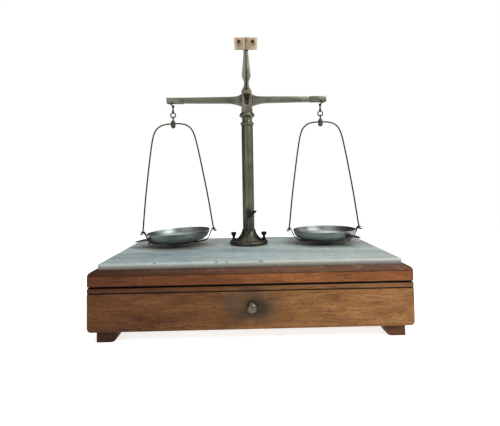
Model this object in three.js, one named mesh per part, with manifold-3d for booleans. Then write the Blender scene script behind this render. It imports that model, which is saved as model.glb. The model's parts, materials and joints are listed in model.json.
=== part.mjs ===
// Counter balance for a pharmacy or goldsmith: a brass column and beam on a marble-topped wooden
// box with one drawer, two loose pans in wire bails, and an index plate above a lyre.
// Millimetres, +X to the right, +Y away from the drawer, +Z up.
// Origin: the middle of the bounding box, on the surface that the feet stand on.
import * as THREE from "three";
import { mergeVertices } from "three/addons/utils/BufferGeometryUtils.js";
import Module from "manifold-3d";

const wasm = await Module();
wasm.setup();

// ---------- driving dimensions ----------
const GAP = 0.3; // clearance between pieces that touch
const KNOB_REACH = 17; // how far the drawer knob stands out of the box
const CASE_W = 400;
const CASE_D = 240;
const CASE_Y = KNOB_REACH / 2; // middle of the box, so that the whole object is centred
const FRONT = CASE_Y - CASE_D / 2;
const BACK = CASE_Y + CASE_D / 2;
const WALL = 9;

const FOOT = { w: 25, d: 18, h: 13, inset_x: 10, inset_y: 5, round: 8 };
const CASE_TOP = 67.7;
const FLOOR_BOARD = 5;
const FRAME = { bottom: 68, shoulder: 6, top: 87, rim: 9, ledge: 18, rebate: 72.7 };
const MARBLE = { t: 14, top: 94, bevel: 2, corner: 3 };
const DRAWER = { front_t: 10, bottom: 13.2, top: 66.5, groove: 59.4, bead: 60.3, corner: 6 };
const TRAY = { low: 20.6, side_t: 7, side_h: 37, length: 212 }; // the drawer behind its front
const RUNNER = { middle: 180, w: 14 };
const KNOB = { r: 6.6, z: 43, crown: 6, pin: 2.2, pin_length: 8 };

const COLUMN_Y = CASE_Y + 33.5;
const TOP = MARBLE.top; // the marble's surface, from which the metalwork is measured
const COLUMN = { r: 9.3, bore: 6.5, bottom: 8.3, top: 190.3 };
const FLANGE_R = 30.4;
const STUD = { r: 6, length: 31, nut: 10.5 }; // threaded tail of the column's base, and its nut
const SCREW = { x: 24.4, r: 1.8, length: 10, hole: 2.2 };
const ROD_R = 4;
const ROD_TOP = 218;

const LEVER = { z: 51.2, crank: 3.8, turn: 90 }; // pivot height, crank radius and turn in degrees
const BOSS = { r: 4.4, y: -8.6, low: 16, high: 62 };

const HEAD = { bottom: 212.1, w: 18, neck_w: 15.5, round_z: 241.5, depth: 19, cheek: 4.6, slot: 219.5 };
const PIVOT_Z = 232; // knife edge that the beam rocks on
const KNIFE_R = 1.5;
const BEAM = { half: 103.4, t: 7, tongue: 109 };
const END_BOX = { out: 130, low: 229.3, high: 238.2, t: 10.4, wall: 1.6 };
const HANGER_X = 120.3; // end knives, from the column's axis
const END_EDGE = 231.8;

const RING = { z: 210, r: 4, wire: 0.95 };
const EYE = { r: 2.6, wire: 0.8 };
const SWIVEL_HOLE = 196.3;
const BAIL_WIRE = 1.15;
const CRADLE_EYE = { x: 56.9, z: 23.7, r: 2.7, wire: 0.8 };
const CRADLE = { low: 3.5, t: 1.4, w: 7, disc: 20 };
const PAN = { floor: 5.3, rim: 21.8, t: 1.1 };
const LEAF = { z: 12.6, root: 46, tip: 69, t: 1.4, shield: 6 };
// How each hanger hangs, in degrees and millimetres: the bails lean, and the left pan sits crooked.
const LEFT = { sign: -1, turn: 0, lean: 2.2, tilt: 1.4, lift: 0.9, handle: 207 };
const RIGHT = { sign: 1, turn: 180, lean: 0.7, tilt: 0, lift: 0, handle: 308 };

const PLATE = { z: 320.2, h: 21.2, half_low: 18.6, half_high: 20.1, t: 2.2, crown: 0.8 };
const PLATE_SCREW = { x: 11.5, z: 334, r: 1 };
const LYRE = { y: 9.8, t: 2.4, screw_z: 246, screw_r: 1.2 };
const NEEDLE = { r: 1.6, foot: 245, blade: 255.6, tip: 338.5 };

const SIDES = { dish: 32, large: 28, medium: 20, small: 12, wire: 6 }; // facets around a round piece

// ---------- helpers ----------
const degrees = THREE.MathUtils.degToRad;
const group = new THREE.Group();
const FINISH = {
  walnut: { color: 0x8a5a34, roughness: 0.6, metalness: 0 },
  drawer_wood: { color: 0x9a7548, roughness: 0.75, metalness: 0 },
  marble: { color: 0xb4bcba, roughness: 0.3, metalness: 0 },
  brass: { color: 0x82806c, roughness: 0.5, metalness: 0.8 },
  dark_brass: { color: 0x55503f, roughness: 0.55, metalness: 0.8 },
  steel: { color: 0x4a3b36, roughness: 0.5, metalness: 0.7 },
  ivory: { color: 0xe0d4c0, roughness: 0.5, metalness: 0 },
  pewter: { color: 0x85827c, roughness: 0.45, metalness: 0.8 },
};

function add(name, geometry, finish, parent = group) {
  const mesh = new THREE.Mesh(geometry, new THREE.MeshStandardMaterial(FINISH[finish]));
  mesh.name = name;
  parent.add(mesh);
  return mesh;
}

function toSolid(geometry) {
  const bare = geometry.index ? geometry.toNonIndexed() : geometry.clone();
  const points = new THREE.BufferGeometry().setAttribute("position", bare.getAttribute("position"));
  const merged = mergeVertices(points, 1e-4);
  return new wasm.Manifold(
    new wasm.Mesh({
      numProp: 3,
      vertProperties: merged.attributes.position.array,
      triVerts: new Uint32Array(merged.index.array),
    }),
  );
}

function toGeometry(solid) {
  const mesh = solid.getMesh();
  const geometry = new THREE.BufferGeometry();
  geometry.setAttribute("position", new THREE.BufferAttribute(mesh.vertProperties, 3));
  geometry.setIndex(new THREE.BufferAttribute(mesh.triVerts, 1));
  return geometry;
}

const join = (first, ...others) =>
  toGeometry(others.reduce((sum, other) => sum.add(toSolid(other)), toSolid(first)));
const cut = (first, ...others) =>
  toGeometry(others.reduce((rest, other) => rest.subtract(toSolid(other)), toSolid(first)));
const common = (first, second) => toGeometry(toSolid(first).intersect(toSolid(second)));

function block([x0, x1], [y0, y1], [z0, z1]) {
  return new THREE.BoxGeometry(x1 - x0, y1 - y0, z1 - z0).translate(
    (x0 + x1) / 2,
    (y0 + y1) / 2,
    (z0 + z1) / 2,
  );
}

function outline(points) {
  return new THREE.Shape(points.map(([x, y]) => new THREE.Vector2(x, y)));
}

// A shape drawn in X and Z, as seen from the front, reaching from y0 to y1.
function upright(shape, y0, y1, curveSegments = 12) {
  const options = { depth: y1 - y0, bevelEnabled: false, curveSegments };
  return new THREE.ExtrudeGeometry(shape, options).rotateX(Math.PI / 2).translate(0, y1, 0);
}

// A shape drawn in X and Y, as seen from above, reaching from z0 to z1.
function flat(shape, z0, z1, curveSegments = 12) {
  const options = { depth: z1 - z0, bevelEnabled: false, curveSegments };
  return new THREE.ExtrudeGeometry(shape, options).translate(0, 0, z0);
}

// A closed profile of [radius, z] turned about the Z axis.
function turned(profile, segments = SIDES.large) {
  const points = profile.map(([r, z]) => new THREE.Vector2(r, z));
  return new THREE.LatheGeometry(points, segments).rotateX(Math.PI / 2);
}

function cylinder(r, z0, z1, segments = SIDES.medium) {
  return turned([[0, z0], [r, z0], [r, z1], [0, z1]], segments);
}

function ring(r, bore, z0, z1, segments = SIDES.large) {
  return turned([[bore, z0], [r, z0], [r, z1], [bore, z1], [bore, z0]], segments);
}

// A cylinder along Y, from y0 to y1.
function pin(r, x, z, y0, y1, segments = SIDES.small) {
  return cylinder(r, -y1, -y0, segments).rotateX(Math.PI / 2).translate(x, 0, z);
}

function circle(r, segments) {
  const step = (2 * Math.PI) / segments;
  return outline([...Array(segments).keys()].map((i) => [r * Math.cos(i * step), r * Math.sin(i * step)]));
}

function torus(r, wire, steps) {
  return new THREE.TorusGeometry(r, wire, SIDES.wire, steps);
}

function along(path, section, steps) {
  return new THREE.ExtrudeGeometry(section, { steps, extrudePath: path, bevelEnabled: false });
}

// A smooth path through [x, z] points in the plane y = 0.
function frontPath(points) {
  const places = points.map(([x, z]) => new THREE.Vector3(x, 0, z));
  return new THREE.CatmullRomCurve3(places, false, "centripetal");
}

function mirrored(half) {
  return [...half.map(([x, z]) => [-x, z]).reverse(), ...half];
}

// ---------- the box ----------
function makeFeet() {
  const { w, d, h, inset_x: dx, inset_y: dy, round } = FOOT;
  const shape = new THREE.Shape();
  shape.moveTo(0, 0);
  shape.lineTo(w - round, 0);
  shape.absarc(w - round, round, round, -Math.PI / 2, 0, false);
  shape.lineTo(w, h - GAP);
  shape.lineTo(0, h - GAP);
  for (const [side, turn] of [["left", 1], ["right", -1]])
    for (const [end, y] of [["front", FRONT + dy], ["back", BACK - dy - d]]) {
      const foot = upright(shape, 0, d, 6).translate(dx - CASE_W / 2, 0, 0);
      if (turn < 0) foot.rotateZ(Math.PI).translate(0, d, 0);
      add(`foot_${end}_${side}`, foot.translate(0, y, 0), "walnut");
    }
}

function makeCase() {
  const half = CASE_W / 2;
  const inner = half - WALL - GAP;
  const start = FRONT + DRAWER.front_t + GAP;
  for (const [side, x] of [["left", [-half, WALL - half]], ["right", [half - WALL, half]]])
    add(`case_side_${side}`, block(x, [start, BACK], [FOOT.h, CASE_TOP]), "walnut");
  add("case_back", block([-inner, inner], [BACK - WALL, BACK], [FOOT.h, CASE_TOP]), "walnut");
  const floor = [FOOT.h, FOOT.h + FLOOR_BOARD];
  add("case_floor", block([-inner, inner], [start, BACK - WALL - GAP], floor), "walnut");
  const runner_z = [FOOT.h + FLOOR_BOARD + GAP, TRAY.low - GAP];
  for (const [side, middle] of [["left", -RUNNER.middle], ["right", RUNNER.middle]]) {
    const x = [middle - RUNNER.w / 2, middle + RUNNER.w / 2];
    add(`drawer_runner_${side}`, block(x, [start + 6, BACK - WALL - 6], runner_z), "drawer_wood");
  }
}

// One side of the mitred top frame: the moulding's section, cut at 45 degrees at both ends.
function frameRail(length, depth) {
  const { bottom, shoulder, top, rim, ledge, rebate } = FRAME;
  const section = new THREE.Shape();
  section.moveTo(0, bottom);
  section.lineTo(ledge, bottom);
  section.lineTo(ledge, rebate);
  section.lineTo(rim, rebate);
  section.lineTo(rim, top);
  section.absellipse(rim, top - shoulder, rim, shoulder, Math.PI / 2, Math.PI, false);
  const options = { depth: length, bevelEnabled: false, curveSegments: 6 };
  const rail = new THREE.ExtrudeGeometry(section, options)
    .rotateX(Math.PI / 2)
    .rotateZ(Math.PI / 2)
    .translate(-length / 2, -depth / 2, 0);
  const reach = length / 2 - GAP; // the rails stop short of each other at the mitres
  const [front, back] = [-depth / 2, ledge + 1 - depth / 2];
  const inner = reach - ledge - 1;
  const wedge = outline([[-reach, front], [reach, front], [inner, back], [-inner, back]]);
  return common(rail, flat(wedge, bottom - 1, top + 1));
}

function makeFrame() {
  const quarter = Math.PI / 2;
  const rails = [["front", CASE_W, CASE_D, 0], ["right", CASE_D, CASE_W, quarter],
    ["back", CASE_W, CASE_D, 2 * quarter], ["left", CASE_D, CASE_W, 3 * quarter]];
  for (const [side, length, depth, turn] of rails)
    add(`frame_${side}`, frameRail(length, depth).rotateZ(turn).translate(0, CASE_Y, 0), "walnut");
}

function roundedPlate(w, d, corner) {
  const [x, y] = [w / 2 - corner, d / 2 - corner];
  const shape = new THREE.Shape();
  shape.absarc(x, -y, corner, -Math.PI / 2, 0, false);
  shape.absarc(x, y, corner, 0, Math.PI / 2, false);
  shape.absarc(-x, y, corner, Math.PI / 2, Math.PI, false);
  shape.absarc(-x, -y, corner, Math.PI, 1.5 * Math.PI, false);
  return shape;
}

function makeTop() {
  const { rim, rebate } = FRAME;
  const [w, d] = [CASE_W - 2 * (rim + GAP), CASE_D - 2 * (rim + GAP)];
  const stud = cylinder(STUD.r + 0.8, 0, 2 * TOP).translate(0, COLUMN_Y, 0);
  const under = TOP - MARBLE.t - GAP;
  const board = block([-w / 2, w / 2], [CASE_Y - d / 2, CASE_Y + d / 2], [rebate + GAP, under]);
  add("sub_top", cut(board, stud), "drawer_wood");
  const { bevel, corner, t } = MARBLE;
  const slab = new THREE.ExtrudeGeometry(roundedPlate(w - 2 * bevel, d - 2 * bevel, corner), {
    depth: t - 2 * bevel,
    bevelSize: bevel,
    bevelThickness: bevel,
    bevelSegments: 3,
    curveSegments: 4,
  }).translate(0, CASE_Y, TOP - t + bevel);
  const socket = cylinder(SCREW.hole, TOP - SCREW.length - 1, TOP + 1, SIDES.small);
  const sockets = [-SCREW.x, SCREW.x].map((x) => socket.clone().translate(x, COLUMN_Y, 0));
  add("marble_top", cut(slab, stud, ...sockets), "marble");
}

// The drawer's front: a bead along the top edge, a groove below it, and rounded lower corners.
function makeDrawerFront() {
  const { front_t: t, bottom, top, groove, bead, corner } = DRAWER;
  const [half, inset] = [CASE_W / 2, 1.5];
  const section = new THREE.Shape();
  section.moveTo(t, bottom);
  section.lineTo(t, top);
  section.lineTo(2 * inset, top);
  section.quadraticCurveTo(0, top, 0, (top + bead) / 2);
  section.quadraticCurveTo(0, bead, inset, bead);
  section.lineTo(inset, groove);
  section.lineTo(0, groove);
  section.lineTo(0, bottom + 2);
  section.quadraticCurveTo(0, bottom, 2, bottom);
  const bar = new THREE.ExtrudeGeometry(section, { depth: CASE_W, bevelEnabled: false, curveSegments: 5 })
    .rotateX(Math.PI / 2)
    .rotateZ(Math.PI / 2)
    .translate(-half, FRONT, 0);
  const face = new THREE.Shape();
  face.absarc(half - corner, bottom + corner, corner, -Math.PI / 2, 0, false);
  face.lineTo(half, top + 1);
  face.lineTo(-half, top + 1);
  face.absarc(corner - half, bottom + corner, corner, Math.PI, 1.5 * Math.PI, false);
  const blank = common(bar, upright(face, FRONT - 1, FRONT + t + 1, 6));
  const hole = pin(KNOB.pin + 0.4, 0, KNOB.z, FRONT - 2, FRONT + KNOB.pin_length);
  add("drawer_front", cut(blank, hole), "walnut");
}

function makeTray() {
  const { low, side_t, side_h, length } = TRAY;
  const outer = CASE_W / 2 - WALL - 1.2;
  const start = FRONT + DRAWER.front_t + GAP;
  const end = start + length;
  const height = [low, low + side_h];
  add("drawer_side_left", block([-outer, side_t - outer], [start, end], height), "drawer_wood");
  add("drawer_side_right", block([outer - side_t, outer], [start, end], height), "drawer_wood");
  const inner = outer - side_t - GAP;
  add("drawer_back", block([-inner, inner], [end - side_t, end], height), "drawer_wood");
  const panel = [low + 1.5, low + 4.5];
  add("drawer_floor", block([-inner, inner], [start, end - side_t - GAP], panel), "drawer_wood");
}

function makeKnob() {
  const { r, z, crown, pin: shank, pin_length } = KNOB;
  const neck = [[3.6, 0.4], [3.6, 1.4], [2.6, 2.4], [2.6, 4], [5, 5.8]];
  const knob = [[0, -pin_length], [shank, -pin_length], [shank, 0.4], ...neck];
  for (let a = -30; a < 90; a += 30) {
    const angle = degrees(a);
    knob.push([r * Math.cos(angle), KNOB_REACH - crown + crown * Math.sin(angle)]);
  }
  knob.push([0, KNOB_REACH]);
  const geometry = turned(knob, SIDES.medium).rotateX(Math.PI / 2).translate(0, FRONT, z);
  add("drawer_knob", geometry, "pewter");
}

// ---------- the column ----------
const metal = new THREE.Group();
metal.position.set(0, COLUMN_Y, TOP);
group.add(metal);

// The concave foot of the column, as radius and height.
const CONE = [[21.5, 6.8], [18.6, 9.3], [14.2, 14.5], [11.3, 20], [10.4, 23.5]];
const RIB = { x: 24.6, t: 3.4, root: 10.5, top: 15.5 };

function makeColumnBase() {
  const bore = COLUMN.r + GAP;
  const tail = [[0, -STUD.length], [STUD.r, -STUD.length], [STUD.r, GAP]];
  const flange = [[FLANGE_R, GAP], [FLANGE_R, 4.6], [FLANGE_R - 1, 6.2]];
  const socket = [[bore, 23.5], [bore, 8], [0, 8]];
  const body = turned([...tail, ...flange, ...CONE, ...socket], SIDES.dish);
  const crest = CONE.slice(0, 3).map(([r, z]) => [r + 1.8, z + 1]);
  const rib = outline([[RIB.root, 6], [RIB.x, 6], ...crest, [RIB.root, RIB.top]]);
  const fin = new THREE.ExtrudeGeometry(rib, { depth: RIB.t, bevelEnabled: false })
    .rotateX(Math.PI / 2)
    .translate(0, RIB.t / 2, 0);
  const holes = [-SCREW.x, SCREW.x].map((x) => cylinder(SCREW.hole, -1, 8, SIDES.small).translate(x, 0, 0));
  const ribbed = join(body, fin.clone().rotateZ(Math.PI / 2), fin.rotateZ(-Math.PI / 2));
  add("column_base", cut(ribbed, ...holes), "dark_brass", metal);
}

function makeThumbScrews() {
  const shank = [[0, -SCREW.length], [SCREW.r, -SCREW.length], [SCREW.r, 7.1]];
  const neck = [[2.9, 7.1], [2.9, 8.6], [2.2, 10.4], [2.2, 13.2], [3.8, 15.2]];
  const head = [[4.4, 15.6], [4.4, 18.6], [3.9, 19.2], [2.4, 18.4], [0, 18.2]];
  for (const [side, x] of [["left", -SCREW.x], ["right", SCREW.x]]) {
    const screw = turned([...shank, ...neck, ...head], SIDES.small).translate(x, 0, 0);
    add(`thumb_screw_${side}`, screw, "dark_brass", metal);
  }
}

// The nut that holds the column's tail under the box's top.
function makeFixing() {
  const hexagon = circle(STUD.nut, 6);
  hexagon.holes.push(circle(STUD.r + GAP, SIDES.medium));
  const under = FRAME.rebate - TOP;
  add("fixing_nut", flat(hexagon, under - 6, under), "steel", metal);
}

function makeColumn() {
  const { r, bore, bottom, top } = COLUMN;
  const hole = pin(2.3, 0, LEVER.z, -r - 2, 0);
  add("column_tube", cut(ring(r, bore, bottom, top), hole), "brass", metal);

  const bead = [[9.6, 190.6], [9.6, 193], [10.9, 194], [10.9, 196.2]];
  const hollow = [[8.1, 198.6], [7.9, 202.6]];
  const crown = [[11.2, 206], [12.4, 208.3], [11.4, 211.8]];
  const mouth = ROD_R + 0.4;
  const capital = [[mouth, 190.6], ...bead, ...hollow, ...crown, [mouth, 211.8], [mouth, 190.6]];
  add("capital", turned(capital), "brass", metal);
}

// The half-round boss on the column's front, in which the lever's shaft turns.
function makeBoss() {
  const { r, y, low, high } = BOSS;
  const section = new THREE.Shape();
  section.absarc(0, y, r, Math.PI, 2 * Math.PI, false);
  section.lineTo(r, -4);
  section.lineTo(-r, -4);
  const bar = flat(section, low, high, 8);
  const [wide, narrow, top] = [5, 3, 57.4];
  const face = new THREE.Shape();
  face.moveTo(-wide, low - 1);
  face.lineTo(wide, low - 1);
  face.lineTo(wide, 42);
  face.quadraticCurveTo(narrow, 44, narrow, 47);
  face.absarc(0, top, narrow, 0, Math.PI, false);
  face.lineTo(-narrow, 47);
  face.quadraticCurveTo(-narrow, 44, -wide, 42);
  const boss = common(bar, upright(face, -16, -2, 5));
  const cone = turned([[0, 6], ...CONE.map(([x, z]) => [x + 0.5, z + 0.5]), [0, 24]], SIDES.dish);
  const slot = block([-2, -0.6], [-14, -11.4], [39.6, 44.6]);
  const hollow = cylinder(COLUMN.r + GAP, 0, 80, SIDES.large);
  const bore = pin(2.2, 0, LEVER.z, -20, 0);
  add("lever_boss", cut(boss, cone, slot, hollow, bore), "dark_brass", metal);
}

function makeLever() {
  const wing = new THREE.Shape();
  wing.moveTo(-3.4, 2.4);
  wing.quadraticCurveTo(0, 0.9, 3.4, 1.8);
  wing.quadraticCurveTo(8, 3.4, 13.2, 3.2);
  wing.quadraticCurveTo(12.2, -0.4, 7.4, -3);
  wing.quadraticCurveTo(5.8, -4.8, 4.8, -7);
  wing.quadraticCurveTo(2.4, -9.6, 0, -8.2);
  wing.quadraticCurveTo(-3, -4.6, -3.9, 0.6);
  const plate = upright(wing, -16.8, -14.4, 4);
  const hub = pin(3.2, 0, 0, -17.4, -13.6);
  const shaft = pin(2.1, 0, 0, -20, -10);
  const lever = cut(join(plate, hub), shaft).translate(0, 0, LEVER.z);
  add("lift_lever", lever, "dark_brass", metal);

  const angle = -degrees(LEVER.turn / 2);
  const [x, z] = [LEVER.crank * Math.cos(angle), LEVER.crank * Math.sin(angle)];
  const disc = pin(5.1, 0, 0, -1.6, 0, SIDES.medium);
  const crank = join(pin(1.8, 0, 0, -17.8, -1), disc, pin(1.2, x, z, -0.5, 3.4));
  add("lever_shaft", crank.translate(0, 0, LEVER.z), "steel", metal);
}

// The rod inside the column: the crank's pin lifts it by the yoke at its lower end.
function makeRod() {
  const pin_z = LEVER.z - LEVER.crank * Math.sin(degrees(LEVER.turn / 2));
  const yoke = block([-5, 5], [0.5, 3.7], [pin_z - 5, 60]);
  const slot = block([0.8, 6], [0, 4], [pin_z - 1.65, pin_z + 1.65]);
  const rod = cylinder(ROD_R, 57.6, ROD_TOP);
  add("lift_rod", cut(join(rod, yoke), slot), "steel", metal);
}

// ---------- the head ----------
const WINDOW = { top: 242.5, low: 224.2, half_top: 5.8, half_low: 3 };

function windowShape(inset) {
  const { top, low, half_top, half_low } = WINDOW;
  const shape = new THREE.Shape();
  const r = half_low - inset;
  shape.moveTo(half_top - inset, top - inset);
  shape.lineTo(inset - half_top, top - inset);
  shape.lineTo(-r, low + half_low);
  shape.absarc(0, low + half_low, r, Math.PI, 2 * Math.PI, false);
  return shape;
}

function makeHead() {
  const { bottom, w, neck_w, round_z, depth, cheek, slot } = HEAD;
  const r = neck_w / 2;
  const front = new THREE.Shape();
  front.moveTo(-w / 2, bottom);
  front.lineTo(w / 2, bottom);
  front.lineTo(w / 2, bottom + 4);
  front.quadraticCurveTo(r + 0.6, 226, r, 237);
  front.absarc(0, round_z, r, 0, Math.PI, false);
  front.lineTo(-r, 237);
  front.quadraticCurveTo(-r - 0.6, 226, -w / 2, bottom + 4);
  const body = upright(front, -depth / 2, depth / 2, 8);
  const throat = block([-20, 20], [cheek - depth / 2, depth / 2 - cheek], [slot, 260]);
  const windows = upright(windowShape(0), -20, 20, 6);
  const rod = cylinder(ROD_R + GAP, bottom - 1, ROD_TOP + GAP);
  const screw = pin(LYRE.screw_r + GAP, 0, LYRE.screw_z, 0, 20);
  add("head", cut(body, throat, windows, rod, screw), "brass", metal);

  const hole = pin(1.95, 0, PIVOT_Z + KNIFE_R + 0.1, -20, 20);
  for (const [side, y] of [["front", GAP - depth / 2], ["back", depth / 2 - cheek + GAP]]) {
    const bearing = upright(windowShape(GAP), y, y + cheek - 2 * GAP, 6);
    add(`bearing_${side}`, cut(bearing, hole), "steel", metal);
  }
}

// The lyre stands behind the head and carries the index plate on its crossbar.
function makeLyre() {
  const { y, t, screw_z, screw_r } = LYRE;
  const { x: screw_x, z: plate_z, r: plate_r } = PLATE_SCREW;
  const scroll = [[0, 238], [5.5, 238], [6.4, 243], [8.6, 248], [8.6, 252.4], [6.2, 256.4], [4.3, 260]];
  const stem = [[4.1, 266], [5.4, 271], [7.4, 276.4], [7.1, 281], [5.6, 298], [3.9, 318]];
  const bar = [[3.9, plate_z - 4.5], [15, plate_z - 4.5], [15, plate_z + 3.5], [0, plate_z + 3.5]];
  const half = [...scroll, ...stem, ...bar];
  const left = half.slice(1, -1).map(([x, z]) => [-x, z]).reverse();
  const blank = upright(outline([...half, ...left]), y, y + t);
  const holes = [-screw_x, screw_x].map((x) => pin(plate_r + GAP, x, plate_z, 0, 20));
  add("lyre", cut(blank, pin(screw_r + GAP, 0, screw_z, 0, 20), ...holes), "brass", metal);

  const tip = 6.2;
  const back = y + t + GAP - tip;
  const profile = [[0, 0], [screw_r, 0], [screw_r, back], [2.6, back], [2.6, back + 1.8], [0, back + 2]];
  const screw = turned(profile, SIDES.small).rotateX(-Math.PI / 2).translate(0, tip, screw_z);
  add("lyre_screw", screw, "steel", metal);
}

function makeIndexPlate() {
  const { z, h, half_low, half_high, t, crown } = PLATE;
  const { x: screw_x, z: screw_z, r } = PLATE_SCREW;
  const shape = new THREE.Shape();
  shape.moveTo(-half_low, z);
  shape.lineTo(half_low, z);
  shape.lineTo(half_high, z + h - crown);
  shape.quadraticCurveTo(0, z + h + crown, -half_high, z + h - crown);
  const front = LYRE.y - GAP - t;
  const holes = [-screw_x, screw_x].map((x) => pin(r + GAP, x, screw_z, 0, 20));
  add("index_plate", cut(upright(shape, front, front + t, 6), ...holes), "ivory", metal);
  const reach = t + GAP + LYRE.t;
  const profile = [[0, -reach], [r, -reach], [r, GAP], [2.3, GAP], [2.3, 1], [1.6, 1.6], [0, 1.7]];
  const screw = turned(profile, SIDES.small).rotateX(Math.PI / 2);
  for (const [side, x] of [["left", -screw_x], ["right", screw_x]])
    add(`plate_screw_${side}`, screw.clone().translate(x, front, screw_z), "steel", metal);
}

// ---------- the beam ----------
// A steel knife along Y whose edge is at edgeZ: the centre one points down, those at the ends point up.
function knife(edgeZ, points, length) {
  return upright(outline(points), -length / 2, length / 2).translate(0, 0, edgeZ);
}

function beamOutline() {
  const { half, tongue } = BEAM;
  const lower = [[0, 222.2], [7.5, 223.3], [13, 225.2], [19, 227], [27, 228.5], [half, 229.8]];
  const end = [[half, 230], [tongue, 230], [tongue, 236.2], [half, 236.2]];
  const upper = [[half, 238.3], [27, 238.9], [16, 239.4], [10.5, 242], [7, 245], [3.6, 249], [0, 250.3]];
  const right = [...lower, ...end, ...upper];
  return outline([...right, ...right.slice(1, -1).map(([x, z]) => [-x, z]).reverse()]);
}

function makeBeam() {
  const blank = upright(beamOutline(), -BEAM.t / 2, BEAM.t / 2);
  const socket = outline([[-1.7, 2.55], [0, -0.4], [1.7, 2.55]]);
  const slot = upright(socket, -10, 10).translate(0, 0, PIVOT_Z);
  const bore = cylinder(NEEDLE.r + GAP, NEEDLE.foot - 0.4, 260, SIDES.small);
  add("beam", cut(blank, slot, bore), "brass", metal);
  const edge = knife(PIVOT_Z, [[-1.3, 2.25], [0, 0], [1.3, 2.25]], HEAD.depth - 1);
  add("centre_knife", edge, "steel", metal);
}

function makeNeedle() {
  const { r, foot, blade, tip } = NEEDLE;
  const stem = cylinder(r, foot, blade + 1, SIDES.small);
  const shape = outline([[-1.4, blade], [1.4, blade], [0.5, tip], [-0.5, tip]]);
  add("needle", join(stem, upright(shape, -0.6, 0.6)), "steel", metal);
  add("needle_nut", ring(2.6, r + GAP, 250.9, 254.6, SIDES.small), "dark_brass", metal);
}

function makeEndBox(name, s) {
  const { out, low, high, t: width, wall } = END_BOX;
  const ends = [s * (BEAM.half + GAP), s * out].sort((a, b) => a - b);
  const hollow = [s * (BEAM.half - 2), s * (out - wall)].sort((a, b) => a - b);
  const shell = block(ends, [-width / 2, width / 2], [low, high]);
  const inside = block(hollow, [wall - width / 2, width / 2 - wall], [low - 1, high - wall]);
  const slot = upright(outline([[-1.85, -2.6], [1.85, -2.6], [0, 0.5]]), -10, 10);
  const box = cut(shell, inside, slot.translate(s * HANGER_X, 0, END_EDGE));
  add(`end_box_${name}`, box, "brass", metal);
  const edge = knife(END_EDGE, [[-1.5, -2.2], [1.5, -2.2], [0, 0]], width - 0.4);
  add(`end_knife_${name}`, edge.translate(s * HANGER_X, 0, 0), "steel", metal);
}

// ---------- the hangers and pans ----------
function makeHook(name, turn, parent) {
  const r = 2.9;
  const loop = [[r, 229.6]];
  for (let a = 15; a <= 180; a += 16.5)
    loop.push([r * Math.cos(degrees(a)), END_EDGE - 1.7 + r * Math.sin(degrees(a))]);
  loop.push([-3.9, 228.6], [-1.2, 226.8], [0.6, 225.6]);
  const wire = along(frontPath(loop), circle(0.9, SIDES.wire), 22);
  const waist = [[2, 215.6], [1.3, 219], [1.3, 222], [2.2, 225.4]];
  const stem = turned([[0, 214], [1.6, 214], ...waist, [1.6, 226.8], [0, 226.8]], SIDES.small);
  const loopRing = torus(RING.r, RING.wire, 16).rotateX(Math.PI / 2).translate(0, 0, RING.z);
  add(`hook_${name}`, join(wire, stem, loopRing).rotateZ(turn), "steel", parent);
}

function makeSwivel(name, parent) {
  const eye_z = RING.z - RING.r + RING.wire + GAP + EYE.wire - EYE.r;
  const eye = torus(EYE.r, EYE.wire, 14).rotateY(Math.PI / 2).translate(0, 0, eye_z);
  const neck = eye_z - EYE.r + 0.4;
  const low = [[0, 188.6], [1.8, 189], [3.1, 190.2], [3.7, 191.8]];
  const high = [[3.7, 198.2], [3, 200.2], [1.6, 201.8], [1.1, neck], [0, neck]];
  const body = turned([...low, ...high], SIDES.small);
  const hole = cylinder(BAIL_WIRE + 0.75, -6, 6, SIDES.small).rotateY(Math.PI / 2);
  hole.translate(0, 0, SWIVEL_HOLE);
  add(`swivel_${name}`, cut(join(eye, body), hole), "steel", parent);
}

function makeBail(name, parent) {
  const shoulder = [[12, -0.5], [21, -3], [28, -8.6], [32.6, -17.5], [36.2, -32], [49.2, -112.6]];
  const foot = [[56.9, 0], [57.4, -2.4], [58.6, -3.2], [60.6, -3.3]];
  const half = [...shoulder, ...foot.map(([x, z]) => [x, z + CRADLE_EYE.z - SWIVEL_HOLE])];
  const path = frontPath([...half.map(([x, z]) => [-x, z]).reverse(), [0, 0], ...half]);
  add(`bail_${name}`, along(path, circle(BAIL_WIRE, SIDES.wire), 72), "dark_brass", parent);
}

// The strap under the pan, hung by an eye at each end from the bail's feet.
function makeCradle(name, parent) {
  const { low, t, w, disc } = CRADLE;
  const { x: eye_x, r, wire } = CRADLE_EYE;
  const middle = low + t / 2 - SWIVEL_HOLE;
  const eye_z = CRADLE_EYE.z - SWIVEL_HOLE;
  const rise = [[disc, 0], [36, 0.4], [44, 2.2], [49, 7.4], [52.2, 14.6]].map(([x, z]) => [x, middle + z]);
  const section = outline([[-w / 2, -t / 2], [w / 2, -t / 2], [w / 2, t / 2], [-w / 2, t / 2]]);
  const strap = along(frontPath(mirrored([...rise, [55, eye_z - 0.4]])), section, 36);
  const eyes = [-eye_x, eye_x].map((x) => torus(r, wire, 12).translate(x, 0, eye_z));
  const seat = cylinder(disc, middle - t / 2, middle + t / 2);
  add(`cradle_${name}`, join(strap, seat, ...eyes), "dark_brass", parent);
}

// The outside of the dish, as radius and height above its floor, up to just below the rim.
const DISH = [[28, 0], [35, 0.8], [42, 3.2], [46.8, 7.2], [49, 11.8], [50, PAN.rim - PAN.floor - 1]];

function makePan(name, parent) {
  const { floor, rim, t } = PAN;
  const outer = DISH.map(([r, z]) => [r, z + floor]);
  const inner = [[49, rim - 1.1], ...[[48, 12.2], [45.8, 8], [41.3, 4.4], [34.7, 1.9], [27.8, t]].map(
    ([r, z]) => [r, z + floor],
  )];
  const profile = [[0, floor], ...outer, [49.8, rim], ...inner, [0, floor + t]];
  add(`pan_${name}`, turned(profile, SIDES.dish).translate(0, 0, -SWIVEL_HOLE), "dark_brass", parent);
}

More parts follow.
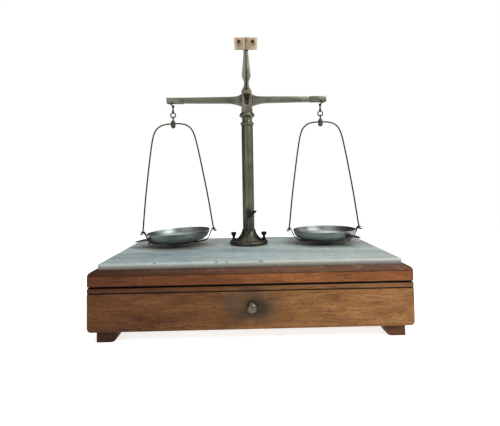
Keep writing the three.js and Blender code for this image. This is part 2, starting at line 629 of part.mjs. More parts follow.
// A shallow gutter along X whose bottom is at z = 0.
function gutter(from, to) {
  const [half, rise] = [10, 2.6];
  const section = new THREE.Shape();
  section.moveTo(-half, rise);
  section.quadraticCurveTo(0, -rise, half, rise);
  section.lineTo(half, rise + LEAF.t);
  section.quadraticCurveTo(0, LEAF.t - rise, -half, rise + LEAF.t);
  return new THREE.ExtrudeGeometry(section, { depth: to - from, bevelEnabled: false, curveSegments: 6 })
    .rotateX(Math.PI / 2)
    .rotateZ(Math.PI / 2)
    .translate(from, 0, 0);
}

// The pan's handle: a hollowed leaf on a round shield that lies against the dish.
function makeHandle(name, azimuth, parent) {
  const { z, root, tip, shield } = LEAF;
  const leaf = new THREE.Shape();
  leaf.moveTo(root, -4.5);
  leaf.quadraticCurveTo(58, -10, tip, -1);
  leaf.quadraticCurveTo(tip + 1, 0, tip, 1);
  leaf.quadraticCurveTo(58, 10, root, 4.5);
  const blade = common(gutter(root - 2, tip + 2), flat(leaf, -5, 10, 5)).translate(0, 0, z);
  const disc = cylinder(shield, 0, 1.4).rotateY(Math.PI / 2).translate(root + 1.4, 0, z);
  const dish = DISH.map(([r, height]) => [r + 0.4, height + PAN.floor - 0.4]);
  const [rim_r] = dish.at(-1);
  const space = turned([[0, PAN.floor - 1], ...dish, [rim_r, PAN.rim + 4], [0, PAN.rim + 4]], SIDES.dish);
  const handle = cut(join(blade, disc), space).rotateZ(azimuth).translate(0, 0, -SWIVEL_HOLE);
  add(`pan_handle_${name}`, handle, "dark_brass", parent);
}

function makeHanger(name, { sign, turn, lean, tilt, lift, handle }) {
  const chain = new THREE.Group();
  chain.position.x = sign * HANGER_X;
  metal.add(chain);
  makeHook(name, degrees(turn), chain);
  makeSwivel(name, chain);
  const bail = new THREE.Group();
  bail.position.z = SWIVEL_HOLE;
  bail.rotation.y = -degrees(lean);
  chain.add(bail);
  makeBail(name, bail);
  makeCradle(name, bail);
  const pan = new THREE.Group();
  const rim = PAN.rim - SWIVEL_HOLE; // the pan tilts about the middle of its rim
  const angle = -degrees(tilt);
  pan.rotation.y = angle;
  pan.position.set(-rim * Math.sin(angle), 0, lift + rim - rim * Math.cos(angle));
  bail.add(pan);
  makePan(name, pan);
  makeHandle(name, degrees(handle), pan);
}

makeFeet();
makeCase();
makeFrame();
makeTop();
makeDrawerFront();
makeTray();
makeKnob();
makeColumnBase();
makeThumbScrews();
makeFixing();
makeColumn();
makeBoss();
makeLever();
makeRod();
makeHead();
makeLyre();
makeIndexPlate();
makeBeam();
makeNeedle();
makeEndBox("left", -1);
makeEndBox("right", 1);
makeHanger("left", LEFT);
makeHanger("right", RIGHT);

export default group;
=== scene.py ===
import json
import math

import bmesh
import bpy
from mathutils import Matrix, Vector


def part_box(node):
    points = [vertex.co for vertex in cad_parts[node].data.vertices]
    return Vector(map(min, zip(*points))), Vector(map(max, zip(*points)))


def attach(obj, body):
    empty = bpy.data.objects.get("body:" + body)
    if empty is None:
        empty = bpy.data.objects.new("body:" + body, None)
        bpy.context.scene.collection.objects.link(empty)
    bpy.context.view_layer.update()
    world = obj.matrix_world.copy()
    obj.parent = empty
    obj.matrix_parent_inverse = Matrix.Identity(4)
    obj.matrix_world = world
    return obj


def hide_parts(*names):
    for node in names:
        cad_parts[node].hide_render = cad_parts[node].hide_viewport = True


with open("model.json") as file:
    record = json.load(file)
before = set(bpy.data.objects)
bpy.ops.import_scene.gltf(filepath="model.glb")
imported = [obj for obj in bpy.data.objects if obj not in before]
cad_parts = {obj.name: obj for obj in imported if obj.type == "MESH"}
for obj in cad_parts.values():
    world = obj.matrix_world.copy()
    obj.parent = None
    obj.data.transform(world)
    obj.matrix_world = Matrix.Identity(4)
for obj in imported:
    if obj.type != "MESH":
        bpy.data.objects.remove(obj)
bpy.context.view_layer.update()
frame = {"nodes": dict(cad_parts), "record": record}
scene = bpy.context.scene
record = frame["record"]
BODY_OF = {node: body for body, nodes in record["behaviour"]["bodies"].items() for node in nodes}


def centre(node):
    low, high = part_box(node)
    return (low + high) / 2


# ---------- sizes, in millimetres unless they come from the frame ----------
MM = 0.001
SIDES = ("left", "right")
AXIS = centre("column_tube")
AXIS.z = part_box("marble_top")[1].z
METAL = Matrix.Translation(AXIS) @ Matrix.Scale(MM, 4)  # metalwork is drawn from the column's foot
WOOD = Matrix.Scale(MM, 4)  # the box is drawn in the object's own frame

GAP = 0.3  # clearance between pieces that touch

FOOT_ROUND = 8
FRAME_LEDGE = 18
FRAME_RIM = 9
FRAME_SHOULDER = 6
FRAME_REBATE_Z = 72.7
MARBLE_BEVEL = 2
MARBLE_CORNER = 3.2
GROOVE_Z = 59.4
BEAD_Z = 60.3
DRAWER_CORNER = 6
KNOB_PIN_R = 2.2

STUD_R = 6
STUD_LENGTH = 31
FLANGE_R = 30.4
SCREW_X = 24.4
SCREW_HOLE = 2.2
COLUMN_R = 9.3
COLUMN_BORE = 6.5
COLUMN_LOW = 8.3
COLUMN_TOP = 190.3
BOSS_R = 4.4
BOSS_Y = -8.6
LEVER_Z = 51.2

PIVOT_Z = 232  # the edge that the beam rocks on
HEAD_LOW = 212.1
HEAD_D = 19
CHEEK = 4.6
WINDOW_TOP = 242.5  # of the window in each cheek, which holds a bearing
WINDOW_HALF = 5.8  # half its width at the top
WINDOW_R = 3
WINDOW_ROUND_Z = 227.2  # middle of its round lower end
BEAM_HALF = 103.4
BEAM_T = 7
TONGUE = 109  # end of the beam's tongue, inside the end box
END_BOX_OUT = 130
END_BOX_HALF_D = 5.2
END_BOX_LOW = 229.3
END_BOX_TOP = 238.2
END_BOX_WALL = 1.6
LYRE_Y = 9.8
LYRE_T = 2.4
LYRE_SCREW_Z = 246
PLATE_Y = 7.3
PLATE_T = 2.2
PLATE_Z = 320.2
PLATE_H = 20.4
PLATE_HALF = 20.1
PLATE_CROWN = 0.8
PLATE_SCREW_X = 11.5
PLATE_SCREW_Z = 334
NEEDLE_FOOT = 245
NEEDLE_TIP = 338.5

HANGER_X = 120.3
END_EDGE = 231.8  # the edge that a hook hangs on
RING_Z = 210
RING_R = 4
EYE_Z = 205.45
EYE_R = 2.6
SWIVEL_HOLE = 196.3
BAIL_WIRE = 1.15
CRADLE_X = 56.9
CRADLE_Z = 23.7
CRADLE_LOW = 3.5
CRADLE_T = 1.4
CRADLE_DISC = 20
PAN_FLOOR = 5.3
PAN_RIM = 21.8
PAN_R = 50
LEAF_Z = 12.6
LEAF_T = 1.4
LEAF_HALF = 10

# How each hanger hangs, in degrees and millimetres: the bails lean, and the left pan sits crooked.
LEAN = {"left": 2.2, "right": 0.7}
PAN_TILT = {"left": 1.4, "right": 0}
PAN_LIFT = {"left": 0.9, "right": 0}
HANDLE = {"left": 207, "right": 308}


# ---------- outlines ----------
def smooth(points, steps=6):
    """Points along a centripetal Catmull-Rom curve through the given 2D points."""
    pts = [Vector(p) for p in points]
    pts = [2 * pts[0] - pts[1], *pts, 2 * pts[-1] - pts[-2]]
    out = []
    for p0, p1, p2, p3 in zip(pts, pts[1:], pts[2:], pts[3:]):
        t1 = (p1 - p0).length ** 0.5
        t2 = t1 + (p2 - p1).length ** 0.5
        t3 = t2 + (p3 - p2).length ** 0.5
        for i in range(steps):
            t = t1 + (t2 - t1) * i / steps
            a1 = p0.lerp(p1, t / t1)
            a2 = p1.lerp(p2, (t - t1) / (t2 - t1))
            a3 = p2.lerp(p3, (t - t2) / (t3 - t2))
            b1 = a1.lerp(a2, t / t2)
            b2 = a2.lerp(a3, (t - t1) / (t3 - t1))
            out.append(b1.lerp(b2, (t - t1) / (t2 - t1)))
    return [tuple(p) for p in out] + [tuple(points[-1])]


def arc(cx, cy, r, start, end, steps):
    """Points along an arc, with its angles in degrees."""
    angles = [math.radians(start + (end - start) * i / steps) for i in range(steps + 1)]
    return [(cx + r * math.cos(a), cy + r * math.sin(a)) for a in angles]


def fillet(points, radius, steps=4):
    """A closed outline with each corner rounded off, by at most a third of the edges beside it."""
    out = []
    for i, point in enumerate(points):
        p = Vector(point)
        before = Vector(points[i - 1]) - p
        after = Vector(points[(i + 1) % len(points)]) - p
        reach = min(radius, before.length / 3, after.length / 3)
        a = p + before.normalized() * reach
        b = p + after.normalized() * reach
        for k in range(steps + 1):
            t = k / steps
            out.append(tuple(a.lerp(p, t).lerp(p.lerp(b, t), t)))
    return out


def mirror(half):
    """A closed outline from its right half, which starts and ends on the axis."""
    return [*half, *[(-x, z) for x, z in reversed(half[1:-1])]]


# ---------- solids ----------
def solid(verts, faces):
    """A mesh object with its double points merged and its faces pointing out."""
    data = bpy.data.meshes.new("solid")
    data.from_pydata([Vector(v) for v in verts], [], faces)
    build = bmesh.new()
    build.from_mesh(data)
    bmesh.ops.remove_doubles(build, verts=build.verts, dist=1e-5)
    bmesh.ops.recalc_face_normals(build, faces=build.faces)
    build.to_mesh(data)
    build.free()
    obj = bpy.data.objects.new("solid", data)
    scene.collection.objects.link(obj)
    return obj


def lathe(profile, sides=96):
    """A closed profile of (radius, z) turned about Z."""
    verts, faces, rings = [], [], []
    for r, z in profile:
        count = 1 if r < 1e-6 else sides
        rings.append([len(verts) + i for i in range(count)])
        for i in range(count):
            a = 2 * math.pi * i / sides
            verts.append((r * math.cos(a), r * math.sin(a), z))
    for low, high in zip(rings, rings[1:] + rings[:1]):
        if len(low) == len(high) == 1:
            continue
        for i in range(sides):
            k = (i + 1) % sides
            corners = [low[i % len(low)], low[k % len(low)], high[k % len(high)], high[i % len(high)]]
            faces.append(list(dict.fromkeys(corners)))
    return solid(verts, faces)


def loft(first, second):
    """Two loops with the same number of points, joined and capped."""
    n = len(first)
    faces = [[i, (i + 1) % n, n + (i + 1) % n, n + i] for i in range(n)]
    faces += [list(range(n)), [n + i for i in reversed(range(n))]]
    return solid([*first, *second], faces)


def prism(outline, y0, y1):
    """An outline in X and Z, reaching from y0 to y1."""
    return loft(*[[(x, y, z) for x, z in outline] for y in (y0, y1)])


def slab(width, depth, corner, levels, steps=8):
    """A rounded rectangle in X and Y, stacked through levels of (inset, z)."""
    verts, faces = [], []
    for inset, z in levels:
        x, y, r = width / 2 - corner, depth / 2 - corner, corner - inset
        loop = [*arc(x, y, r, 0, 90, steps), *arc(-x, y, r, 90, 180, steps),
                *arc(-x, -y, r, 180, 270, steps), *arc(x, -y, r, 270, 360, steps)]
        verts += [(px, py, z) for px, py in loop]
    n = 4 * (steps + 1)
    for k in range(0, (len(levels) - 1) * n, n):
        faces += [[k + i, k + (i + 1) % n, k + n + (i + 1) % n, k + n + i] for i in range(n)]
    faces += [list(range(n)), [(len(levels) - 1) * n + i for i in reversed(range(n))]]
    return solid(verts, faces)


def wire(path, radius, sides=16, closed=False):
    """A round wire along a path in X and Z, either a closed ring or with rounded ends."""
    pts = [Vector((x, 0, z)) for x, z in path]
    count = len(pts)
    rings = []
    for i, p in enumerate(pts):
        before = pts[i - 1] if closed or i else p
        after = pts[(i + 1) % count] if closed or i < count - 1 else p
        rings.append((p, (after - before).normalized(), radius))
    if not closed:
        ends = []
        for p, t, sign in ((rings[0][0], rings[0][1], -1), (rings[-1][0], rings[-1][1], 1)):
            ends.append([(p + t * sign * radius * math.sin(a), t, radius * math.cos(a))
                         for a in (0.4, 0.8, 1.2, 1.5)])
        rings = [*reversed(ends[0]), *rings, *ends[1]]
    verts, faces = [], []
    for p, t, r in rings:
        side = t.cross(Vector((0, 1, 0)))
        for k in range(sides):
            a = 2 * math.pi * k / sides
            verts.append(p + side * r * math.cos(a) + Vector((0, r * math.sin(a), 0)))
    spans = len(rings) if closed else len(rings) - 1
    for i in range(spans):
        j = (i + 1) % len(rings)
        faces += [[i * sides + k, i * sides + (k + 1) % sides, j * sides + (k + 1) % sides, j * sides + k]
                  for k in range(sides)]
    if not closed:
        faces += [list(range(sides)), [(len(rings) - 1) * sides + k for k in reversed(range(sides))]]
    return solid(verts, faces)


def box(x, y, z):
    """A block between pairs of limits."""
    return prism([(x[0], z[0]), (x[1], z[0]), (x[1], z[1]), (x[0], z[1])], *y)


def pin(r, x, z, y0, y1, sides=32):
    """A cylinder along Y."""
    return prism([(x + px, z + pz) for px, pz in arc(0, 0, r, 0, 360 - 360 / sides, sides - 1)], y0, y1)


def moved(obj, matrix):
    obj.data.transform(matrix)
    return obj


def turned_z(obj, degrees):
    return moved(obj, Matrix.Rotation(math.radians(degrees), 4, "Z"))


def rod(r, z0, z1, sides=32, x=0, y=0):
    """An upright cylinder."""
    return moved(lathe([(0, z0), (r, z0), (r, z1), (0, z1)], sides), Matrix.Translation((x, y, 0)))


def settled(obj):
    """The object with its modifiers applied."""
    evaluated = obj.evaluated_get(bpy.context.evaluated_depsgraph_get())
    data = bpy.data.meshes.new_from_object(evaluated)
    obj.modifiers.clear()
    obj.data = data
    return obj


def combined(operation, first, others):
    """The first object, changed by each of the others, which are used up."""
    for other in others:
        change = first.modifiers.new("combine", "BOOLEAN")
        change.operation = operation
        change.solver = "EXACT"
        change.object = other
        settled(first)
        bpy.data.objects.remove(other)
    return first


def union(first, *others):
    return combined("UNION", first, others)


def cut(first, *others):
    return combined("DIFFERENCE", first, others)


def eased(obj, width):
    """The object with a modifier that rounds its sharp edges over."""
    bevel = obj.modifiers.new("ease", "BEVEL")
    bevel.width = width
    bevel.segments = 2
    bevel.limit_method = "ANGLE"
    bevel.angle_limit = math.radians(40)
    bevel.miter_outer = "MITER_ARC"
    return obj


def stand_for(node, obj, look, matrix=METAL, ease=0.0):
    """Puts a finished solid in place of a CAD node, on the same body."""
    if ease:
        settled(eased(obj, ease))
    obj.data.transform(matrix)
    obj.data.shade_smooth()
    obj.data.set_sharp_from_angle(angle=math.radians(38))
    obj.name = f"{node}_fine"
    obj.data.name = obj.name
    obj.data.materials.clear()
    obj.data.materials.append(look)
    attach(obj, BODY_OF[node])
    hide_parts(node)


def keep(node, look, ease=0.4):
    """A CAD node that stays as it is, with softened edges and a better material."""
    obj = eased(frame["nodes"][node], ease * MM)
    for place in obj.material_slots:
        place.material = look


# ---------- materials ----------
def srgb(r, g, b):
    """A colour from 0 to 255, as the linear values that a shader takes."""
    values = [v / 255 for v in (r, g, b)]
    return (*[v / 12.92 if v <= 0.04045 else ((v + 0.055) / 1.055) ** 2.4 for v in values], 1)


class Look:
    """A material under construction: each call adds a node and returns the socket to build on."""

    def __init__(self, name, sockets):
        self.material = bpy.data.materials.new(name)
        self.material.use_nodes = True
        self.tree = self.material.node_tree
        self.shader = self.tree.nodes["Principled BSDF"]
        for key, value in sockets.items():
            self.shader.inputs[key].default_value = value
        self.place = self.node("TexCoord").outputs["Object"]
        self.axes = self.node("SeparateXYZ", {"Vector": self.place}).outputs

    def node(self, kind, inputs=(), **props):
        made = self.tree.nodes.new("ShaderNode" + kind)
        for key, value in props.items():
            setattr(made, key, value)
        for key, value in dict(inputs).items():
            if isinstance(value, bpy.types.NodeSocket):
                self.tree.links.new(value, made.inputs[key])
            else:
                made.inputs[key].default_value = value
        return made

    def noise(self, scale, detail=4, stretch=None, place=None, distortion=0.0, roughness=0.5):
        place = place or self.place
        if stretch:
            place = self.node("Mapping", {"Vector": place, "Scale": stretch}).outputs[0]
        return self.node("TexNoise", {"Vector": place, "Scale": scale, "Detail": detail,
                                      "Distortion": distortion, "Roughness": roughness}).outputs["Fac"]

    def cells(self, scale):
        return self.node("TexVoronoi", {"Vector": self.place, "Scale": scale}).outputs["Distance"]

    def level(self, value, low, high, to_low=0.0, to_high=1.0):
        """Value carried smoothly from the range low..high to the range to_low..to_high."""
        return self.node("MapRange", {"Value": value, "From Min": low, "From Max": high, "To Min": to_low,
                                      "To Max": to_high}, interpolation_type="SMOOTHSTEP").outputs[0]

    def maths(self, operation, a, b=0.0):
        return self.node("Math", {0: a, 1: b}, operation=operation).outputs[0]

    def times(self, a, b):
        return self.maths("MULTIPLY", a, b)

    def away(self, value, target):
        """How far a value is from a target."""
        return self.maths("ABSOLUTE", self.maths("SUBTRACT", value, target))

    def mix(self, share, a, b, mode="MIX"):
        """Two colours mixed; the Mix node's colours are its inputs 6 and 7 and its output 2."""
        return self.node("Mix", {0: share, 6: a, 7: b}, data_type="RGBA", blend_type=mode).outputs[2]

    def ramp(self, value, stops):
        made = self.node("ValToRGB", {"Fac": value})
        band = made.color_ramp
        while len(band.elements) < len(stops):
            band.elements.new(0.5)
        for element, (position, colour) in zip(band.elements, stops):
            element.position = position
            element.color = colour
        return made.outputs["Color"]

    def near(self, point, radii, ragged, scale=60):
        """1 at a point, falling to 0 at the edge of an ellipsoid around it, with a ragged edge."""
        offset = self.node("VectorMath", {0: self.place, 1: point}, operation="SUBTRACT").outputs[0]
        share = self.node("VectorMath", {0: offset, 1: radii}, operation="DIVIDE").outputs[0]
        length = self.node("VectorMath", {0: share}, operation="LENGTH").outputs["Value"]
        wobble = self.times(self.maths("SUBTRACT", self.noise(scale, 5), 0.5), ragged)
        return self.level(self.maths("ADD", length, wobble), 1, 0.35)

    def crevices(self, distance):
        """1 on open surfaces, falling towards 0 where others stand within the distance."""
        return self.node("AmbientOcclusion", {"Distance": distance}, samples=6).outputs["AO"]

    def done(self, colour, roughness, height=None, depth=0.0, strength=1.0):
        self.tree.links.new(colour, self.shader.inputs["Base Color"])
        self.tree.links.new(roughness, self.shader.inputs["Roughness"])
        if height is not None:
            bump = self.node("Bump", {"Height": height, "Distance": depth, "Strength": strength})
            self.tree.links.new(bump.outputs["Normal"], self.shader.inputs["Normal"])
        return self.material


# Grime with painted shade, for metal where other pieces stand close.
GRIME_AND_SHADE = srgb(30, 27, 21)
# Painted shade for the narrow gaps between the drawer and the frame.
GAP_SHADE = srgb(12, 8, 6)


def metal_look(name, light, dark, spots, shine, rust):
    """Old metal in two tones, with spots of rust or tarnish, and grime with painted shade where pieces
    meet.
    """
    light, dark, spots = srgb(*light), srgb(*dark), srgb(*spots)
    look = Look(name, {"Metallic": 1.0})
    fine = look.noise(300, 3)
    colour = look.mix(look.level(look.noise(24, 3, distortion=0.5), 0.3, 0.7), dark, light)
    colour = look.mix(look.level(fine, 0.45, 0.75, 0, 0.07), colour, dark)
    patches = look.times(look.level(look.noise(60, 3), 0.56, 0.74), rust)
    colour = look.mix(patches, colour, spots)
    # Grime, with painted shade, darkens the metal where other pieces stand close.
    colour = look.mix(look.level(look.crevices(0.004), 0.9, 0.35, 0, 0.85), colour, GRIME_AND_SHADE)
    roughness = look.level(look.noise(55, 2), 0.3, 0.7, *shine)
    return look.done(colour, roughness, look.noise(90, 2), 0.0002, 0.06)


def walnut_look(name, grain, pale, mid, deep, features=None):
    """Old waxed walnut whose grain runs along the axis named by grain."""
    look = Look(name, {"IOR": 1.45, "Specular IOR Level": 0.14})

    def run(share):
        return [share if axis == grain else 1 for axis in "XYZ"]

    drift = look.node("TexNoise", {"Vector": look.place, "Scale": 6.0, "Detail": 2.0}).outputs["Color"]
    shift = look.node("VectorMath", {0: drift, 1: (0.03, 0.03, 0.03)}, operation="MULTIPLY").outputs[0]
    place = look.node("VectorMath", {0: look.place, 1: shift}, operation="ADD").outputs[0]

    broad = look.noise(16, 4, run(0.35), place)
    figure = look.noise(110, 5, run(0.2), place, distortion=0.3)
    tone = look.maths("ADD", look.times(broad, 0.6), look.times(figure, 0.4))
    colour = look.ramp(tone, [(0.31, deep), (0.49, mid), (0.66, pale)])
    streaks = look.level(look.noise(420, 4, run(0.08), place), 0.42, 0.7, 0, 0.36)
    colour = look.mix(streaks, colour, srgb(58, 34, 20))
    glow = look.level(look.noise(300, 4, run(0.15), place), 0.52, 0.75, 0, 0.3)
    colour = look.mix(glow, colour, pale)
    where = look.level(look.noise(12, 3), 0.45, 0.62)
    pores = look.times(look.level(look.noise(900, 2, run(0.04), place), 0.6, 0.68), where)
    colour = look.mix(look.times(pores, 0.6), colour, srgb(34, 21, 14))
    pits = look.level(look.cells(95), 0.13, 0.06)
    pits = look.times(pits, look.level(look.noise(23, 3), 0.55, 0.64))
    colour = look.mix(look.times(pits, 0.8), colour, srgb(28, 19, 14))
    specks = look.level(look.noise(460, 4, run(0.5)), 0.55, 0.68, 0, 0.44)
    colour = look.mix(specks, colour, srgb(46, 27, 16))
    if features:
        colour = features(look, colour)
    # The wood is browner and darker towards the left end of the box: painted shade for the light falling
    # from the right, together with fading.
    shade_and_fading = look.level(look.axes["X"], -0.215, 0.17, 0.95, 0.0)
    colour = look.mix(shade_and_fading, colour, srgb(162, 142, 128), "MULTIPLY")
    roughness = look.level(look.noise(45, 4), 0.3, 0.7, 0.4, 0.6)
    fibres = look.times(look.noise(520, 3, run(0.04), place), 0.6)
    return look.done(colour, roughness, look.maths("SUBTRACT", fibres, pores), 0.0003, 0.4)


def drawer_marks(look, colour):
    """Grime from fingers around the knob, stains at the lower left, and painted shade in the groove under
    the bead and in the gap along the top edge.
    """
    low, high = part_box("drawer_front")
    knob = centre("drawer_knob")
    knob.y = low.y
    halo = look.near(knob + Vector((-0.002, 0, 0.001)), (0.05, 1, 0.03), 0.7)
    colour = look.mix(look.times(halo, 0.6), colour, srgb(66, 62, 50))
    core = look.near(knob + Vector((0.006, 0, -0.004)), (0.022, 1, 0.017), 0.4, 90)
    colour = look.mix(look.times(core, 0.65), colour, srgb(34, 30, 25))
    stained = look.near(Vector((low.x + 0.09, low.y, low.z + 0.008)), (0.085, 1, 0.014), 0.5, 40)
    dashes = look.level(look.noise(260, 3, (0.3, 1, 1.6)), 0.58, 0.64)
    colour = look.mix(look.times(look.times(stained, dashes), 0.75), colour, srgb(30, 20, 16))
    # Painted shade along the groove under the bead.
    groove = look.away(look.axes["Z"], high.z - 0.0066)
    colour = look.mix(look.level(groove, 0.0013, 0.0005, 0, 0.85), colour, srgb(22, 14, 11))
    bead = look.level(look.axes["Z"], high.z - 0.0062, high.z - 0.0052)
    colour = look.mix(look.times(bead, 0.35), colour, srgb(62, 34, 24))
    # Painted shade in the gap along the drawer's top edge.
    seam = look.level(look.axes["Z"], high.z - 0.0012, high.z - 0.0004)
    return look.mix(look.times(seam, 0.9), colour, GAP_SHADE)


def worn_shoulder(look, colour):
    """A rounded shoulder, duller and more purple than the flat face, and painted shade in the gap along the
    seam.
    """
    bottom, top = (corner.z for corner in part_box("frame_front"))
    # Painted shade in the gap along the rail's lower edge.
    seam = look.level(look.axes["Z"], bottom + 0.0012, bottom + 0.0004)
    colour = look.mix(look.times(seam, 0.9), colour, GAP_SHADE)
    ragged = look.maths("ADD", look.axes["Z"], look.times(look.noise(60, 4), 0.0012))
    shoulder = look.level(ragged, top - 0.0065, top - 0.005)
    colour = look.mix(look.times(shoulder, 0.72), colour, srgb(68, 49, 39))
    edge = look.level(look.away(look.axes["Z"], top - 0.0062), 0.0009, 0.0002)
    colour = look.mix(look.times(edge, 0.6), colour, srgb(34, 21, 15))
    scuffs = look.times(look.level(look.noise(130, 5, (0.4, 0.4, 1)), 0.58, 0.66), shoulder)
    return look.mix(look.times(scuffs, 0.5), colour, srgb(112, 84, 66))


def marble_look():
    """Grey-blue marble with bands along X, a dirty rim, chips on its front edge, and painted shadow and
    reflection mixed with grime under the pans and around the column's foot.
    """
    look = Look("marble", {"IOR": 1.5})
    cloud = look.noise(13, 4, (0.3, 1.1, 1), distortion=0.8, roughness=0.55)
    tones = [(0.32, srgb(131, 147, 149)), (0.5, srgb(156, 169, 167)), (0.7, srgb(177, 185, 180))]
    colour = look.ramp(cloud, tones)
    bands = look.level(look.noise(30, 3, (0.12, 1, 1), distortion=0.5), 0.5, 0.68, 0, 0.4)
    colour = look.mix(bands, colour, srgb(170, 176, 170))
    veins = look.away(look.noise(8, 6, (0.3, 1, 1), distortion=1.8), 0.5)
    colour = look.mix(look.level(veins, 0.03, 0.0, 0, 0.25), colour, srgb(104, 118, 124))
    colour = look.mix(look.level(look.noise(5, 3), 0.5, 0.72, 0, 0.4), colour, srgb(152, 148, 132))
    low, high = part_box("marble_top")
    wear = look.maths("ADD", look.axes["Y"], look.times(look.noise(45, 4), 0.006))
    colour = look.mix(look.level(wear, low.y + 0.012, low.y + 0.001, 0, 0.5), colour, srgb(136, 134, 122))
    rim = look.level(look.axes["Z"], high.z - 0.0012, high.z - 0.006)
    colour = look.mix(look.times(rim, 0.82), colour, srgb(76, 67, 54))
    for x, width in ((-0.0435, 0.003), (-0.03, 0.0016), (0.0116, 0.0028), (0.014, 0.0016), (-0.12, 0.0018)):
        chip = look.near(Vector((x, low.y, high.z)), (width, 0.0034, 0.0022), 0.5, 500)
        colour = look.mix(look.times(chip, 0.85), colour, srgb(52, 52, 48))
    # Painted shadow and reflection of the pans and the column's foot, mixed with grime, as brown patches on
    # the marble.
    places = [(AXIS, (0.05, 0.05, 0.02), 0.4)]
    for side in SIDES:
        under = centre(f"pan_{side}")
        under.z = AXIS.z
        places.append((under, (0.085, 0.066, 0.02), 0.66))
    for place, radii, share in places:
        shade_and_dirt = look.near(place, radii, 0.6, 40)
        colour = look.mix(look.times(shade_and_dirt, share), colour, srgb(116, 101, 76))
    roughness = look.level(look.noise(70, 5), 0.3, 0.7, 0.16, 0.3)
    return look.done(colour, roughness, look.noise(220, 4), 0.00015, 0.15)


def ivory_look():
    """Bone or ivory, stained around its screws, paler at its ends, and with painted shade where other
    pieces stand close.
    """
    look = Look("ivory", {"IOR": 1.54})
    tones = [(0.3, srgb(128, 110, 87)), (0.6, srgb(158, 140, 114))]
    colour = look.ramp(look.noise(120, 5, (1, 1, 0.3)), tones)
    for side in SIDES:
        below = centre(f"plate_screw_{side}") - Vector((0, 0, 0.003))
        stain = look.near(below, (0.0072, 0.03, 0.0078), 0.6, 260)
        colour = look.mix(look.times(stain, 0.7), colour, srgb(88, 62, 41))
    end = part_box("index_plate")[1].x
    ends = look.level(look.maths("ABSOLUTE", look.axes["X"]), end - 0.006, end - 0.0015, 0, 0.5)
    colour = look.mix(ends, colour, srgb(192, 177, 152))
    # Painted shade where other pieces stand close.
    colour = look.mix(look.level(look.crevices(0.003), 0.85, 0.4, 0, 0.6), colour, srgb(104, 82, 60))
    roughness = look.level(look.noise(200, 3), 0.3, 0.7, 0.4, 0.55)
    return look.done(colour, roughness, look.noise(500, 3), 0.0002, 0.3)


def softwood_look():
    """Bare softwood, with its grain along Y."""
    look = Look("drawer_wood", {"IOR": 1.45})
    grain = look.noise(90, 4, (1, 0.06, 1), distortion=0.5)
    colour = look.ramp(grain, [(0.35, srgb(104, 76, 46)), (0.6, srgb(146, 112, 74))])
    colour = look.mix(look.level(look.noise(14, 4), 0.5, 0.75, 0, 0.4), colour, srgb(78, 56, 36))
    fibres = look.noise(400, 3, (1, 0.06, 1))
    return look.done(colour, look.level(grain, 0.3, 0.7, 0.6, 0.8), fibres, 0.0003, 0.5)


# Each metal's light tone, dark tone and spots, the range of its roughness, and how strong its spots are.
BRASS = metal_look("brass", (117, 117, 104), (100, 99, 88), (86, 76, 60), (0.34, 0.48), 0.25)
COLUMN_BRASS = metal_look("column_brass", (105, 104, 90), (88, 87, 75), (80, 70, 55), (0.34, 0.48), 0.3)
DARK_BRASS = metal_look("dark_brass", (84, 84, 74), (58, 57, 48), (74, 54, 38), (0.34, 0.52), 0.5)
LYRE_BRASS = metal_look("lyre_brass", (138, 138, 124), (114, 113, 101), (86, 76, 60), (0.34, 0.48), 0.2)
HEAD_BRASS = metal_look("head_brass", (124, 119, 108), (102, 97, 87), (84, 70, 56), (0.34, 0.5), 0.3)
BLACKENED = metal_look("blackened_brass", (50, 47, 39), (34, 31, 26), (54, 38, 28), (0.4, 0.55), 0.5)
WIRE = metal_look("wire", (44, 39, 32), (31, 27, 22), (52, 35, 25), (0.42, 0.58), 0.5)
HOOK_METAL = metal_look("hook_metal", (56, 42, 34), (38, 29, 25), (78, 45, 31), (0.4, 0.58), 0.6)
PAN_METAL = metal_look("pan_metal", (136, 143, 143), (108, 111, 109), (92, 82, 68), (0.34, 0.44), 0.25)
NEEDLE_METAL = metal_look("needle_metal", (66, 66, 56), (48, 47, 40), (60, 50, 38), (0.4, 0.55), 0.3)
STEEL = metal_look("steel", (62, 53, 45), (42, 36, 31), (76, 50, 37), (0.4, 0.6), 0.5)
PEWTER = metal_look("pewter", (94, 91, 79), (66, 63, 54), (58, 51, 42), (0.4, 0.55), 0.5)
PALE, MID, DEEP = srgb(147, 107, 64), srgb(121, 82, 46), srgb(84, 50, 27)
FRONT_WOOD = walnut_look("walnut_front", "X", PALE, MID, DEEP, drawer_marks)
RAIL_WOOD = walnut_look("walnut_rail", "X", srgb(146, 93, 50), srgb(122, 73, 38), DEEP, worn_shoulder)
SIDE_RAIL_WOOD = walnut_look("walnut_side_rail", "Y", srgb(136, 90, 52), srgb(114, 70, 40), DEEP,
                             worn_shoulder)
SIDE_WOOD = walnut_look("walnut_side", "Y", PALE, MID, DEEP)
BACK_WOOD = walnut_look("walnut_back", "X", PALE, MID, DEEP)
FOOT_WOOD = walnut_look("walnut_foot", "X", srgb(96, 64, 40), srgb(78, 50, 31), srgb(54, 34, 22))
SOFTWOOD = softwood_look()
MARBLE = marble_look()
IVORY = ivory_look()


# ---------- the box ----------
def make_feet():
    for end in ("front", "back"):
        for side in SIDES:
            (x0, y0, z0), (x1, y1, z1) = [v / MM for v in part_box(f"foot_{end}_{side}")]
            width, r = x1 - x0, FOOT_ROUND
            shape = [(0, z0), *arc(width - r, z0 + r, r, -90, 0, 10), (width, z1), (0, z1)]
            if side == "left":
                shape = [(x0 + x, z) for x, z in shape]
            else:
                shape = [(x1 - x, z) for x, z in shape]
            stand_for(f"foot_{end}_{side}", prism(shape, y0, y1), FOOT_WOOD, WOOD, 0.5)


